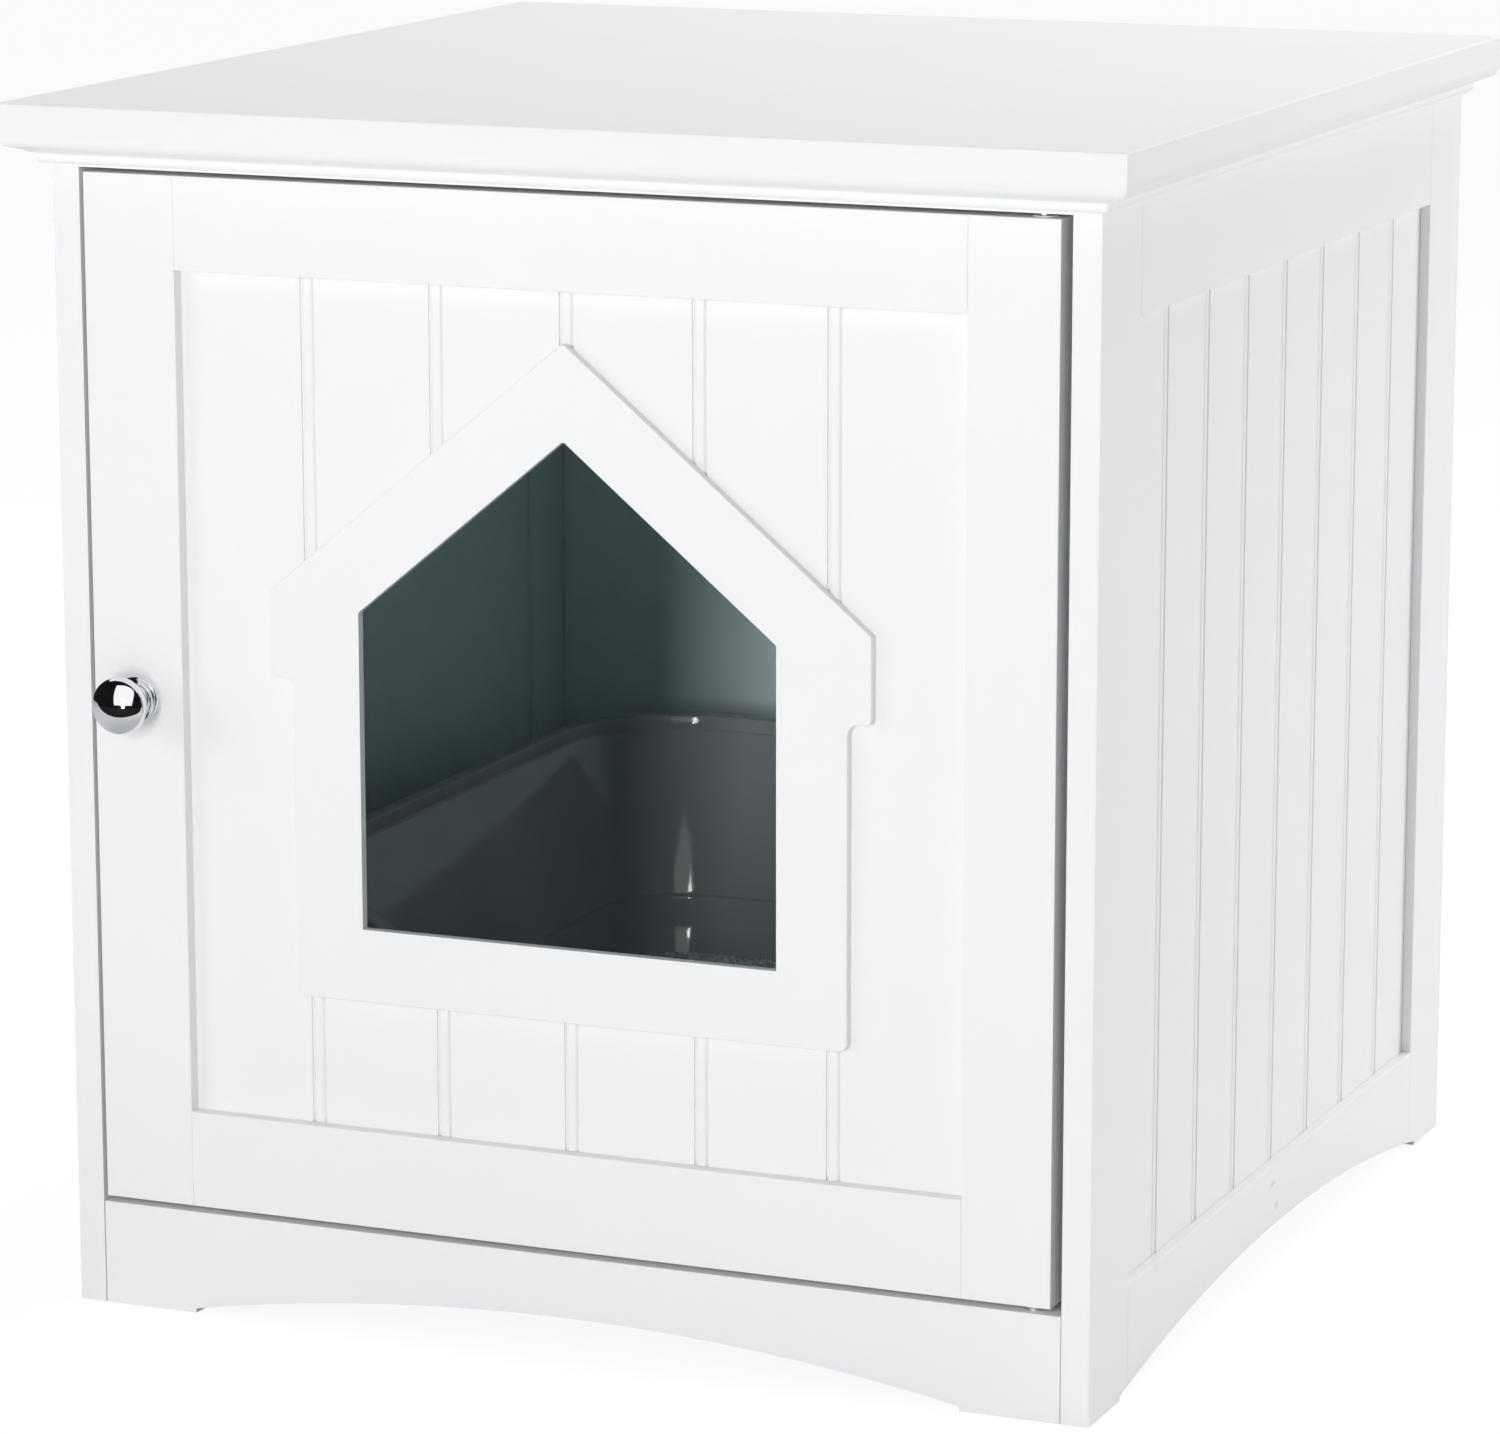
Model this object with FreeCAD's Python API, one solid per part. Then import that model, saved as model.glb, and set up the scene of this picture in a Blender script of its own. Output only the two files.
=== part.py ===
import FreeCAD, Part
import math
import os

# Cat litter box cabinet: a free-standing box of painted board with one hinged door.
# Millimetres. X runs to the right, Y runs from the door to the back, Z up.
# The origin lies on the floor, in the middle of the whole outline, knob included.

V = FreeCAD.Vector

# ---------------------------------------------------------------- driving sizes
# Box
BODY_WIDTH = 454.0
BODY_DEPTH = 486.0
BODY_HEIGHT = 483.0
SIDE_THICKNESS = 12.0
BACK_THICKNESS = 12.0
BACK_FLOOR_CLEARANCE = 20.0
BOARD_GAP = 0.3
ARRIS = 0.4

# Top board and its moulded edge, from the upper face downwards
TOP_THICKNESS = 26.0
TOP_SIDE_OVERHANG = 16.0
TOP_FRONT_OVERHANG = 19.0
TOP_BACK_OVERHANG = 5.0
TOP_EDGE_FLAT = 12.5
OVOLO_RADIUS = 6.0
SLOPE_RUN = 5.0
SLOPE_DROP = 2.0
COVE_RADIUS = 1.0
STEP_DROP = 1.0
SMALL_OVOLO_RADIUS = 2.5
TOP_ARRIS = 0.8

# Frame and panel joints
GROOVE_DEPTH = 6.5
TONGUE_LENGTH = 6.0
GROOVE_PLAY = 0.1

# Side frames
SIDE_STILE_WIDTH = 46.0
SIDE_TOP_RAIL_HEIGHT = 45.0
SIDE_BOTTOM_RAIL_HEIGHT = 46.5
SIDE_RECESS = 4.5
SIDE_PANEL_THICKNESS = 4.5
SIDE_BOARD_PITCH = 51.0
SIDE_BEAD_COUNT = 7

# Arches under the side rails and the apron, and the pads under the side frames
SIDE_FOOT_LENGTH = 37.0
SIDE_ARCH_RISE = 19.5
APRON_FOOT_LENGTH = 55.0
APRON_ARCH_RISE = 18.2
ARCH_SHOULDER = 2.0
FOOT_PAD_HEIGHT = 4.5

# Apron, floor and the cleats under it
APRON_HEIGHT = 44.5
APRON_THICKNESS = 15.0
FLOOR_THICKNESS = 12.0
CLEAT_WIDTH = 15.0
CLEAT_HEIGHT = 12.0
CLEAT_END_SETBACK = 20.0

# Door
DOOR_THICKNESS = 16.0
DOOR_LATCH_GAP = 1.8
DOOR_HINGE_GAP = 4.8
DOOR_BOTTOM_GAP = 2.5
DOOR_TOP_GAP = 2.5
LATCH_STILE_WIDTH = 41.0
HINGE_STILE_WIDTH = 38.0
DOOR_TOP_RAIL_HEIGHT = 38.5
DOOR_BOTTOM_RAIL_HEIGHT = 41.0
DOOR_RECESS = 6.0
DOOR_PANEL_THICKNESS = 5.0
DOOR_BOARD_PITCH = 57.5
DOOR_BEAD_COUNT = 5

# Beads on both kinds of panel: a round bead between two quirks
BEAD_WIDTH = 6.4
BEAD_CROWN = 1.8
QUIRK_WIDTH = 0.7
QUIRK_DEPTH = 1.1

# House-shaped plate on the door and the entrance through it
PLATE_THICKNESS = 4.2
PLATE_GAP_BELOW = 54.8
PLATE_GAP_ABOVE = 20.8
PLATE_GAP_BESIDE = 39.8
PLATE_ROOF_RISE = 108.9
PLATE_EAVES_HEIGHT = 35.6
PLATE_EAVES_OVERHANG = 10.1
PLATE_EAVES_CORNER = 2.0
PLATE_UNDER_EAVES_RADIUS = 5.0
PLATE_BOTTOM_CORNER = 4.0
PLATE_ARRIS = 0.5
ENTRANCE_SILL_HEIGHT = 30.7
ENTRANCE_POST_WIDTH = 30.4
ENTRANCE_PEAK_MARGIN = 39.3
ENTRANCE_ROOF_RISE = 75.9
ENTRANCE_CORNER = 1.6
PANEL_HOLE_MARGIN = 8.0

# Door pivots: a steel pin in the apron and one in the top board, in bushes in the door
PIVOT_EDGE_DISTANCE = 9.0
PIVOT_DIAMETER = 5.0
PIVOT_PLAY = 0.06
PIVOT_SEAT_DEPTH = 14.0
PIVOT_REACH = 12.0
PIVOT_COLLAR_DIAMETER = 9.0
PIVOT_COLLAR_THICKNESS = 1.6
BUSH_DIAMETER = 8.0
BUSH_LENGTH = 14.0
BUSH_FLANGE_DIAMETER = 10.0
BUSH_FLANGE_THICKNESS = 0.6

# Knob
KNOB_Z = 263.0
KNOB_REACH = 24.0
KNOB_HEAD_DIAMETER = 24.4
KNOB_HEAD_DOME = 7.2
KNOB_HEAD_BACK = 4.8
KNOB_HEAD_EDGE_RADIUS = 4.0
KNOB_NECK_DIAMETER = 9.0
ROSETTE_DIAMETER = 19.6
ROSETTE_STEP_DIAMETER = 14.0
ROSETTE_BASE = 3.0
ROSETTE_THICKNESS = 5.0
ROSETTE_EDGE_ROUND = 1.0
KNOB_SCREW_DIAMETER = 4.0
KNOB_SCREW_GRIP = 10.0
KNOB_SCREW_HEAD_DIAMETER = 8.4
KNOB_SCREW_HEAD_HEIGHT = 2.6
KNOB_SCREW_SLOT_WIDTH = 1.2
KNOB_SCREW_SLOT_DEPTH = 1.2
KNOB_SCREW_PLAY = 0.05

# Magnetic catch under the top board and its strike plate on the door
CATCH_CASE_LENGTH = 30.0
CATCH_CASE_HEIGHT = 16.0
CATCH_CASE_DEPTH = 15.0
CATCH_WING_LENGTH = 9.0
CATCH_WING_THICKNESS = 3.0
CATCH_PLAY = 0.1
POLE_LENGTH = 24.0
POLE_DEPTH = 12.0
POLE_THICKNESS = 1.2
POLE_PROUD = 0.8
MAGNET_HEIGHT = 5.0
MAGNET_SETBACK = 1.6
STRIKE_LENGTH = 32.0
STRIKE_WIDTH = 10.0
STRIKE_THICKNESS = 1.2
STRIKE_EDGE_DISTANCE = 24.0
CLOSED_GAP = 0.3

# Wood screws
SCREW_DIAMETER = 3.0
SCREW_HEAD_DIAMETER = 5.6
SCREW_HEAD_HEIGHT = 1.6
SCREW_TIP_LENGTH = 3.0
SCREW_TIP_DIAMETER = 0.8
SCREW_PLAY = 0.05
CLEAT_SCREW_LENGTH = 22.0
FLOOR_SCREW_LENGTH = 20.0
CATCH_SCREW_LENGTH = 12.0
STRIKE_SCREW_LENGTH = 10.0
CLEAT_SCREW_COUNT = 4
CLEAT_SCREW_END_DISTANCE = 40.0

# Cam locks, cam bolts and dowels
CAM_DIAMETER = 12.0
CAM_DEPTH = 9.0
CAM_EDGE_DISTANCE = 20.0
CAM_PLAY = 0.1
CAM_BOLT_DIAMETER = 5.0
CAM_BOLT_HEAD_DIAMETER = 6.4
CAM_BOLT_HEAD_PROUD = 1.5
CAM_BOLT_SEAT = 8.0
CAM_SLOT_LENGTH = 8.0
CAM_SLOT_WIDTH = 1.4
CAM_SLOT_DEPTH = 1.6
CAM_STILE_DISTANCE = 40.0
CAM_APRON_Z = 24.0
CAM_BACK_LOW_Z = 80.0
CAM_BACK_TOP_DISTANCE = 53.0
DOWEL_DIAMETER = 6.0
DOWEL_LENGTH = 26.0
DOWEL_SEAT = 8.0
DOWEL_PLAY = 0.05
DOWEL_SPACING = 34.0
DOWEL_APRON_Z = 12.0

# Litter pan with a lowered front, and the litter in it
PAN_HEIGHT = 135.0
PAN_SIDE_GAP = 40.0
PAN_FRONT_GAP = 20.0
PAN_BACK_GAP = 38.0
PAN_CORNER = 58.0
PAN_WALL = 2.5
PAN_RIM_WIDTH = 6.0
PAN_RIM_HEIGHT = 9.0
PAN_RIM_OVERLAP = 1.0
PAN_LEDGE_DEPTH = 7.0
PAN_STEP_HEIGHT = 52.0
PAN_STEP_WIDTH = 2.5
PAN_STEP_DROP = 1.5
PAN_DRAFT_ABOVE_STEP = 17.0
PAN_DRAFT_BELOW_STEP = 1.5
PAN_SLOPE_HEIGHT = 38.0
PAN_SLOPE_RUN = 6.0
PAN_BASE_RISE = 9.0
PAN_BASE_RUN = 8.0
PAN_SEAT_GAP = 0.3
PAN_DIP_HALF_WIDTH = 75.0
PAN_DIP_RUN = 60.0
PAN_DIP_DEPTH = 22.0
LITTER_DEPTH = 25.0
LITTER_PLAY = 0.3

# ---------------------------------------------------------------- worked-out places
TOTAL_DEPTH = max(KNOB_REACH, TOP_FRONT_OVERHANG) + BODY_DEPTH + TOP_BACK_OVERHANG
FRONT = max(KNOB_REACH, TOP_FRONT_OVERHANG) - TOTAL_DEPTH / 2
BACK = FRONT + BODY_DEPTH
MIDDLE_Y = (FRONT + BACK) / 2
SIDE_OUT = BODY_WIDTH / 2
SIDE_IN = SIDE_OUT - SIDE_THICKNESS
SIDE_MIDDLE = SIDE_OUT - SIDE_THICKNESS / 2
BACK_IN = BACK - BACK_THICKNESS
BACK_MIDDLE = BACK - BACK_THICKNESS / 2
APRON_BACK = FRONT + APRON_THICKNESS
APRON_MIDDLE = FRONT + APRON_THICKNESS / 2
BOARD_END = SIDE_IN - BOARD_GAP
SIDE_ARCH_HALF_SPAN = BODY_DEPTH / 2 - SIDE_FOOT_LENGTH
APRON_ARCH_HALF_SPAN = BODY_WIDTH / 2 - APRON_FOOT_LENGTH
FLOOR_TOP = APRON_HEIGHT
FLOOR_UNDER = FLOOR_TOP - FLOOR_THICKNESS
TOTAL_HEIGHT = BODY_HEIGHT + TOP_THICKNESS

DOOR_LEFT = -SIDE_IN + DOOR_LATCH_GAP
DOOR_RIGHT = SIDE_IN - DOOR_HINGE_GAP
DOOR_LOW = APRON_HEIGHT + DOOR_BOTTOM_GAP
DOOR_HIGH = BODY_HEIGHT - DOOR_TOP_GAP
DOOR_BACK = FRONT + DOOR_THICKNESS
RECESS_LEFT = DOOR_LEFT + LATCH_STILE_WIDTH
RECESS_RIGHT = DOOR_RIGHT - HINGE_STILE_WIDTH
RECESS_LOW = DOOR_LOW + DOOR_BOTTOM_RAIL_HEIGHT
RECESS_HIGH = DOOR_HIGH - DOOR_TOP_RAIL_HEIGHT
RECESS_MIDDLE = (RECESS_LEFT + RECESS_RIGHT) / 2
DOOR_PANEL_FACE = FRONT + DOOR_RECESS
PIVOT_X = DOOR_RIGHT - PIVOT_EDGE_DISTANCE
PIVOT_Y = FRONT + DOOR_THICKNESS / 2
KNOB_X = DOOR_LEFT + LATCH_STILE_WIDTH / 2

PLATE_BOTTOM_Z = RECESS_LOW + PLATE_GAP_BELOW
PLATE_APEX_Z = RECESS_HIGH - PLATE_GAP_ABOVE
PLATE_ROOF_FOOT_Z = PLATE_APEX_Z - PLATE_ROOF_RISE
PLATE_EAVES_Z = PLATE_ROOF_FOOT_Z - PLATE_EAVES_HEIGHT
PLATE_EAVES_HALF_WIDTH = (RECESS_RIGHT - RECESS_LEFT) / 2 - PLATE_GAP_BESIDE
PLATE_WALL_HALF_WIDTH = PLATE_EAVES_HALF_WIDTH - PLATE_EAVES_OVERHANG
ENTRANCE_BOTTOM_Z = PLATE_BOTTOM_Z + ENTRANCE_SILL_HEIGHT
ENTRANCE_APEX_Z = PLATE_APEX_Z - ENTRANCE_PEAK_MARGIN
ENTRANCE_EAVES_Z = ENTRANCE_APEX_Z - ENTRANCE_ROOF_RISE
ENTRANCE_HALF_WIDTH = PLATE_WALL_HALF_WIDTH - ENTRANCE_POST_WIDTH

PAN_Z = FLOOR_TOP + PAN_SEAT_GAP
PAN_WIDTH = 2 * (SIDE_IN - PAN_SIDE_GAP)
PAN_FRONT = DOOR_BACK + PAN_FRONT_GAP
PAN_BACK = BACK_IN - PAN_BACK_GAP
PAN_LENGTH = PAN_BACK - PAN_FRONT
PAN_MIDDLE_Y = (PAN_FRONT + PAN_BACK) / 2
PAN_RIM_Z = PAN_Z + PAN_HEIGHT
PAN_LEDGE_Z = PAN_RIM_Z - PAN_LEDGE_DEPTH

X_AXIS = V(1, 0, 0)
Y_AXIS = V(0, 1, 0)
Z_AXIS = V(0, 0, 1)


# ---------------------------------------------------------------- plain solids
def block(x0, x1, y0, y1, z0, z1):
    """A box between two corners."""
    return Part.makeBox(x1 - x0, y1 - y0, z1 - z0, V(x0, y0, z0))


def rod(diameter, start, end):
    """A cylinder between the centres of its two ends."""
    axis = end - start
    return Part.makeCylinder(diameter / 2, axis.Length, start, axis)


def cone(diameter_start, diameter_end, start, end):
    """A frustum between the centres of its two ends."""
    axis = end - start
    return Part.makeCone(diameter_start / 2, diameter_end / 2, axis.Length, start, axis)


def group(solids):
    """Separate solids that share one node."""
    return Part.makeCompound(solids)


def mirrored(shape):
    """The same shape on the other side of the cabinet."""
    return shape.mirror(V(0, 0, 0), X_AXIS)


def coordinate(point, axis):
    """How far a point lies along an axis."""
    return point.dot(axis)


def eased(shape, axis, value, radius):
    """Rounds the edges that lie in one flat face, given by its axis and its place."""
    found = []
    for edge in shape.Edges:
        ends = [coordinate(v.Point, axis) for v in edge.Vertexes]
        if all(abs(place - value) < 1e-6 for place in ends):
            found.append(edge)
    return shape.makeFillet(radius, found)


def prism(points, along):
    """A straight prism on a closed outline of points."""
    wire = Part.makePolygon(points + [points[0]])
    return Part.Face(wire).extrude(along)


def rounded_outline(corners):
    """A closed wire through corners, each a point with the radius of its rounding."""
    points = [corner[0] for corner in corners]
    radii = [corner[1] for corner in corners]
    count = len(points)
    starts, ends, edges = [], [], []
    for i in range(count):
        before = (points[i - 1] - points[i]).normalize()
        after = (points[(i + 1) % count] - points[i]).normalize()
        half = before.getAngle(after) / 2
        reach = radii[i] / math.tan(half)
        start = points[i] + before * reach
        end = points[i] + after * reach
        starts.append(start)
        ends.append(end)
        if radii[i] > 0:
            inward = (before + after).normalize()
            middle = points[i] + inward * (radii[i] / math.sin(half) - radii[i])
            edges.append(Part.Arc(start, middle, end).toShape())
    for i in range(count):
        edges.append(Part.makeLine(ends[i], starts[(i + 1) % count]))
    return Part.Wire(Part.__sortEdges__(edges))


# ---------------------------------------------------------------- fasteners
def wood_screw(head, direction, length):
    """A countersunk screw, its head's outer face at head, driven along direction."""
    neck = head + direction * SCREW_HEAD_HEIGHT
    shoulder = head + direction * (length - SCREW_TIP_LENGTH)
    end = head + direction * length
    cap = cone(SCREW_HEAD_DIAMETER, SCREW_DIAMETER, head, neck)
    shank = rod(SCREW_DIAMETER, neck, shoulder)
    tip = cone(SCREW_DIAMETER, SCREW_TIP_DIAMETER, shoulder, end)
    return cap.fuse([shank, tip]).removeSplitter()


def wood_screw_hole(head, direction, length):
    """The hole that a countersunk screw fills, a little wider than the screw."""
    wide = SCREW_HEAD_DIAMETER + 2 * SCREW_PLAY
    narrow = SCREW_DIAMETER + 2 * SCREW_PLAY
    neck = head + direction * SCREW_HEAD_HEIGHT
    return cone(wide, narrow, head, neck).fuse(
        rod(narrow, neck, head + direction * (length + BOARD_GAP))
    )


def drilled(shape, holes):
    """The shape with holes cut from it."""
    return shape.cut(holes)


# Each cam joint: the point where the two boards meet, the way into the board that holds
# the cam, and the way from the cam's face out of that board.
def top_cam_joints():
    """Cam joints between the side frames and the top board."""
    joints = []
    for side in (-1, 1):
        for end in (-1, 1):
            y = MIDDLE_Y + end * (BODY_DEPTH / 2 - SIDE_STILE_WIDTH - CAM_STILE_DISTANCE)
            joints.append((V(side * SIDE_MIDDLE, y, BODY_HEIGHT), -Z_AXIS, X_AXIS * -side))
    return joints


def apron_cam_joints():
    """Cam joints between the apron and the side frames."""
    return [
        (V(side * BOARD_END, APRON_MIDDLE, CAM_APRON_Z), X_AXIS * -side, Y_AXIS)
        for side in (-1, 1)
    ]


def back_cam_joints():
    """Cam joints between the back panel and the side frames."""
    return [
        (V(side * BOARD_END, BACK_MIDDLE, z), X_AXIS * -side, Y_AXIS)
        for side in (-1, 1)
        for z in (CAM_BACK_LOW_Z, BODY_HEIGHT - CAM_BACK_TOP_DISTANCE)
    ]


def cam_joints():
    """Every cam joint with the thickness of the board that holds the cam."""
    return (
        [(joint, SIDE_THICKNESS) for joint in top_cam_joints()]
        + [(joint, APRON_THICKNESS) for joint in apron_cam_joints()]
        + [(joint, BACK_THICKNESS) for joint in back_cam_joints()]
    )


def cam_body(joint, thickness, play):
    """The round space or body of a cam, flush with its board's face."""
    meeting, inward, outward = joint
    centre = meeting + inward * CAM_EDGE_DISTANCE
    face = centre + outward * (thickness / 2)
    return rod(CAM_DIAMETER + 2 * play, face, face - outward * (CAM_DEPTH + play))


def cam_bolt(joint):
    """A bolt screwed into one board, with its head inside the cam of the other."""
    meeting, inward, outward = joint
    root = meeting - inward * CAM_BOLT_SEAT
    centre = meeting + inward * CAM_EDGE_DISTANCE
    neck = rod(CAM_BOLT_DIAMETER, root, centre)
    head = rod(
        CAM_BOLT_HEAD_DIAMETER,
        centre - inward * CAM_BOLT_HEAD_PROUD,
        centre + inward * CAM_BOLT_HEAD_PROUD,
    )
    return neck.fuse(head).removeSplitter()


def cam_bolt_hole(joint):
    """The bore for a cam bolt through both boards."""
    meeting, inward, outward = joint
    return rod(
        CAM_BOLT_HEAD_DIAMETER + 2 * CAM_PLAY,
        meeting - inward * (CAM_BOLT_SEAT + CAM_PLAY),
        meeting + inward * (CAM_EDGE_DISTANCE + CAM_BOLT_HEAD_PROUD + CAM_PLAY),
    )


def cam_lock(joint, thickness):
    """A cam with a cross slot in its face and a mouth for the bolt's head."""
    meeting, inward, outward = joint
    centre = meeting + inward * CAM_EDGE_DISTANCE
    face = centre + outward * (thickness / 2)
    across = inward.cross(outward)
    lock = cam_body(joint, thickness, 0.0)
    mouth = rod(
        CAM_BOLT_HEAD_DIAMETER + 2 * CAM_PLAY,
        centre - inward * CAM_DIAMETER,
        centre + inward * (CAM_BOLT_HEAD_PROUD + CAM_PLAY),
    )
    slots = []
    for way in (inward, across):
        reach = way * (CAM_SLOT_LENGTH / 2)
        side = outward.cross(way) * (CAM_SLOT_WIDTH / 2)
        corners = [face - reach - side, face + reach - side, face + reach + side, face - reach + side]
        slots.append(prism(corners, outward * -CAM_SLOT_DEPTH))
    return lock.cut([mouth] + slots)


# Each dowel: the point where the two boards meet and the way into the first board.
def dowel_places():
    """Dowels beside the cams, between the same boards."""
    places = []
    for meeting, inward, outward in top_cam_joints():
        towards_middle = 1 if meeting.y < MIDDLE_Y else -1
        places.append((meeting + Y_AXIS * (towards_middle * DOWEL_SPACING), inward))
    for meeting, inward, outward in apron_cam_joints():
        places.append((V(meeting.x, meeting.y, DOWEL_APRON_Z), inward))
    for meeting, inward, outward in back_cam_joints():
        towards_middle = 1 if meeting.z < BODY_HEIGHT / 2 else -1
        places.append((meeting + Z_AXIS * (towards_middle * DOWEL_SPACING), inward))
    return places


def dowel(place, play):
    """A dowel, or with play the hole for it. A short stretch sits in the second board."""
    meeting, inward = place
    return rod(
        DOWEL_DIAMETER + 2 * play,
        meeting - inward * (DOWEL_SEAT + play),
        meeting + inward * (DOWEL_LENGTH - DOWEL_SEAT + play),
    )


def joint_holes():
    """Every hole that the cams, bolts and dowels need in the boards."""
    cams = [cam_body(joint, thickness, CAM_PLAY) for joint, thickness in cam_joints()]
    bolts = [cam_bolt_hole(joint) for joint, thickness in cam_joints()]
    dowels = [dowel(place, DOWEL_PLAY) for place in dowel_places()]
    return cams + bolts + dowels


# ---------------------------------------------------------------- top board
def moulding(place):
    """The edges of the moulded profile. place turns inset and drop into a point."""
    lean = math.sqrt(0.5)
    foot = TOP_EDGE_FLAT + OVOLO_RADIUS
    cove_in = OVOLO_RADIUS + SLOPE_RUN
    cove_down = foot + SLOPE_DROP
    step_in = cove_in + COVE_RADIUS
    step_down = cove_down + COVE_RADIUS
    small_down = step_down + STEP_DROP
    small_lean = SMALL_OVOLO_RADIUS * lean
    under_in = step_in + SMALL_OVOLO_RADIUS
    under_down = small_down + SMALL_OVOLO_RADIUS
    ovolo = [
        place(0, TOP_EDGE_FLAT),
        place(OVOLO_RADIUS * (1 - lean), TOP_EDGE_FLAT + OVOLO_RADIUS * lean),
        place(OVOLO_RADIUS, foot),
    ]
    cove = [
        place(cove_in, cove_down),
        place(cove_in + COVE_RADIUS * lean, step_down - COVE_RADIUS * lean),
        place(step_in, step_down),
    ]
    small_ovolo = [
        place(step_in, small_down),
        place(under_in - small_lean, small_down + small_lean),
        place(under_in, under_down),
    ]
    return [
        Part.makeLine(place(0, 0), ovolo[0]),
        Part.Arc(*ovolo).toShape(),
        Part.makeLine(ovolo[2], cove[0]),
        Part.Arc(*cove).toShape(),
        Part.makeLine(cove[2], small_ovolo[0]),
        Part.Arc(*small_ovolo).toShape(),
        Part.makeLine(small_ovolo[2], place(under_in, TOP_THICKNESS)),
    ]


def top_board():
    """Two moulded lengths crossed, so that the moulding is mitred at the front corners."""
    half = SIDE_OUT + TOP_SIDE_OVERHANG
    front = FRONT - TOP_FRONT_OVERHANG
    back = BACK + TOP_BACK_OVERHANG
    under = OVOLO_RADIUS + SLOPE_RUN + COVE_RADIUS + SMALL_OVOLO_RADIUS
    across = (
        moulding(lambda inset, drop: V(inset - half, front, TOTAL_HEIGHT - drop))
        + moulding(lambda inset, drop: V(half - inset, front, TOTAL_HEIGHT - drop))
        + [
            Part.makeLine(V(-half, front, TOTAL_HEIGHT), V(half, front, TOTAL_HEIGHT)),
            Part.makeLine(V(under - half, front, BODY_HEIGHT), V(half - under, front, BODY_HEIGHT)),
        ]
    )
    along = moulding(lambda inset, drop: V(-half, front + inset, TOTAL_HEIGHT - drop)) + [
        Part.makeLine(V(-half, front, TOTAL_HEIGHT), V(-half, back, TOTAL_HEIGHT)),
        Part.makeLine(V(-half, back, TOTAL_HEIGHT), V(-half, back, BODY_HEIGHT)),
        Part.makeLine(V(-half, back, BODY_HEIGHT), V(-half, front + under, BODY_HEIGHT)),
    ]
    wide = Part.Face(Part.Wire(Part.__sortEdges__(across))).extrude(Y_AXIS * (back - front))
    deep = Part.Face(Part.Wire(Part.__sortEdges__(along))).extrude(X_AXIS * (2 * half))
    board = eased(wide.common(deep), Z_AXIS, TOTAL_HEIGHT, TOP_ARRIS)
    catch_holes = [wood_screw_hole(*place) for place in catch_screw_places()]
    return drilled(board, joint_holes() + [upper_pivot_seat()] + catch_holes)


# ---------------------------------------------------------------- arches and beads
def arch(half_span, rise, depth):
    """The gap under an arched rail, as a solid about the origin, depth along +Y."""
    left, right = V(-half_span, 0, 0), V(half_span, 0, 0)
    up = Z_AXIS * ARCH_SHOULDER
    edges = [
        Part.makeLine(left - up, left + up),
        Part.Arc(left + up, V(0, 0, rise), right + up).toShape(),
        Part.makeLine(right + up, right - up),
        Part.makeLine(right - up, left - up),
    ]
    return Part.Face(Part.Wire(edges)).extrude(Y_AXIS * depth)


def side_arch():
    """The arch cut through the left side frame."""
    gap = arch(SIDE_ARCH_HALF_SPAN, SIDE_ARCH_RISE, SIDE_THICKNESS)
    gap.rotate(V(0, 0, 0), Z_AXIS, 90)
    gap.translate(V(-SIDE_IN, MIDDLE_Y, 0))
    return gap


def apron_arch():
    """The arch cut through the apron."""
    gap = arch(APRON_ARCH_HALF_SPAN, APRON_ARCH_RISE, APRON_THICKNESS)
    gap.translate(V(0, FRONT, 0))
    return gap


def quirk(crown_end, away, into, height):
    """The cut on one side of a bead. away points from the bead's middle line over the
    panel, into points into the panel, and height is how far the cut runs up."""
    run = (BEAD_WIDTH - BEAD_CROWN) / 2 - QUIRK_WIDTH
    radius = (run**2 + QUIRK_DEPTH**2) / (2 * QUIRK_DEPTH)
    turn = math.asin(run / radius) / 2
    middle = crown_end + away * (radius * math.sin(turn)) + into * (radius - radius * math.cos(turn))
    bead_foot = crown_end + away * run + into * QUIRK_DEPTH
    far_foot = bead_foot + away * QUIRK_WIDTH
    far_top = far_foot - into * QUIRK_DEPTH
    edges = [
        Part.Arc(crown_end, middle, bead_foot).toShape(),
        Part.makeLine(bead_foot, far_foot),
        Part.makeLine(far_foot, far_top),
        Part.makeLine(far_top, crown_end),
    ]
    return Part.Face(Part.Wire(edges)).extrude(Z_AXIS * height)


def bead_quirks(middle, across, into, height, pitch, count):
    """The two quirks of each bead, for beads at an even pitch about the point middle."""
    cuts = []
    for i in range(count):
        centre = middle + across * ((i - (count - 1) / 2) * pitch)
        for way in (across, -across):
            cuts.append(quirk(centre + way * (BEAD_CROWN / 2), way, into, height))
    return cuts


# ---------------------------------------------------------------- side frames
# Everything here is on the left; the right side frame mirrors it.
SIDE_PANEL_OUT = -SIDE_OUT + SIDE_RECESS
SIDE_PANEL_IN = SIDE_PANEL_OUT + SIDE_PANEL_THICKNESS
SIDE_RAIL_FRONT = FRONT + SIDE_STILE_WIDTH
SIDE_RAIL_BACK = BACK - SIDE_STILE_WIDTH
SIDE_PANEL_LOW = SIDE_BOTTOM_RAIL_HEIGHT
SIDE_PANEL_HIGH = BODY_HEIGHT - SIDE_TOP_RAIL_HEIGHT


def side_board(y0, y1, z0, z1):
    """A board of the side frame's full thickness, its outer edges eased."""
    board = block(-SIDE_OUT, -SIDE_IN, y0, y1, z0, z1)
    return eased(board, X_AXIS, -SIDE_OUT, ARRIS)


def side_groove(y0, y1, z0, z1):
    """Room for a tongue or a panel's edge in the side frame."""
    outer = SIDE_PANEL_OUT - GROOVE_PLAY
    inner = SIDE_PANEL_IN + GROOVE_PLAY
    return block(outer, inner, y0, y1, z0, z1)


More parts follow.
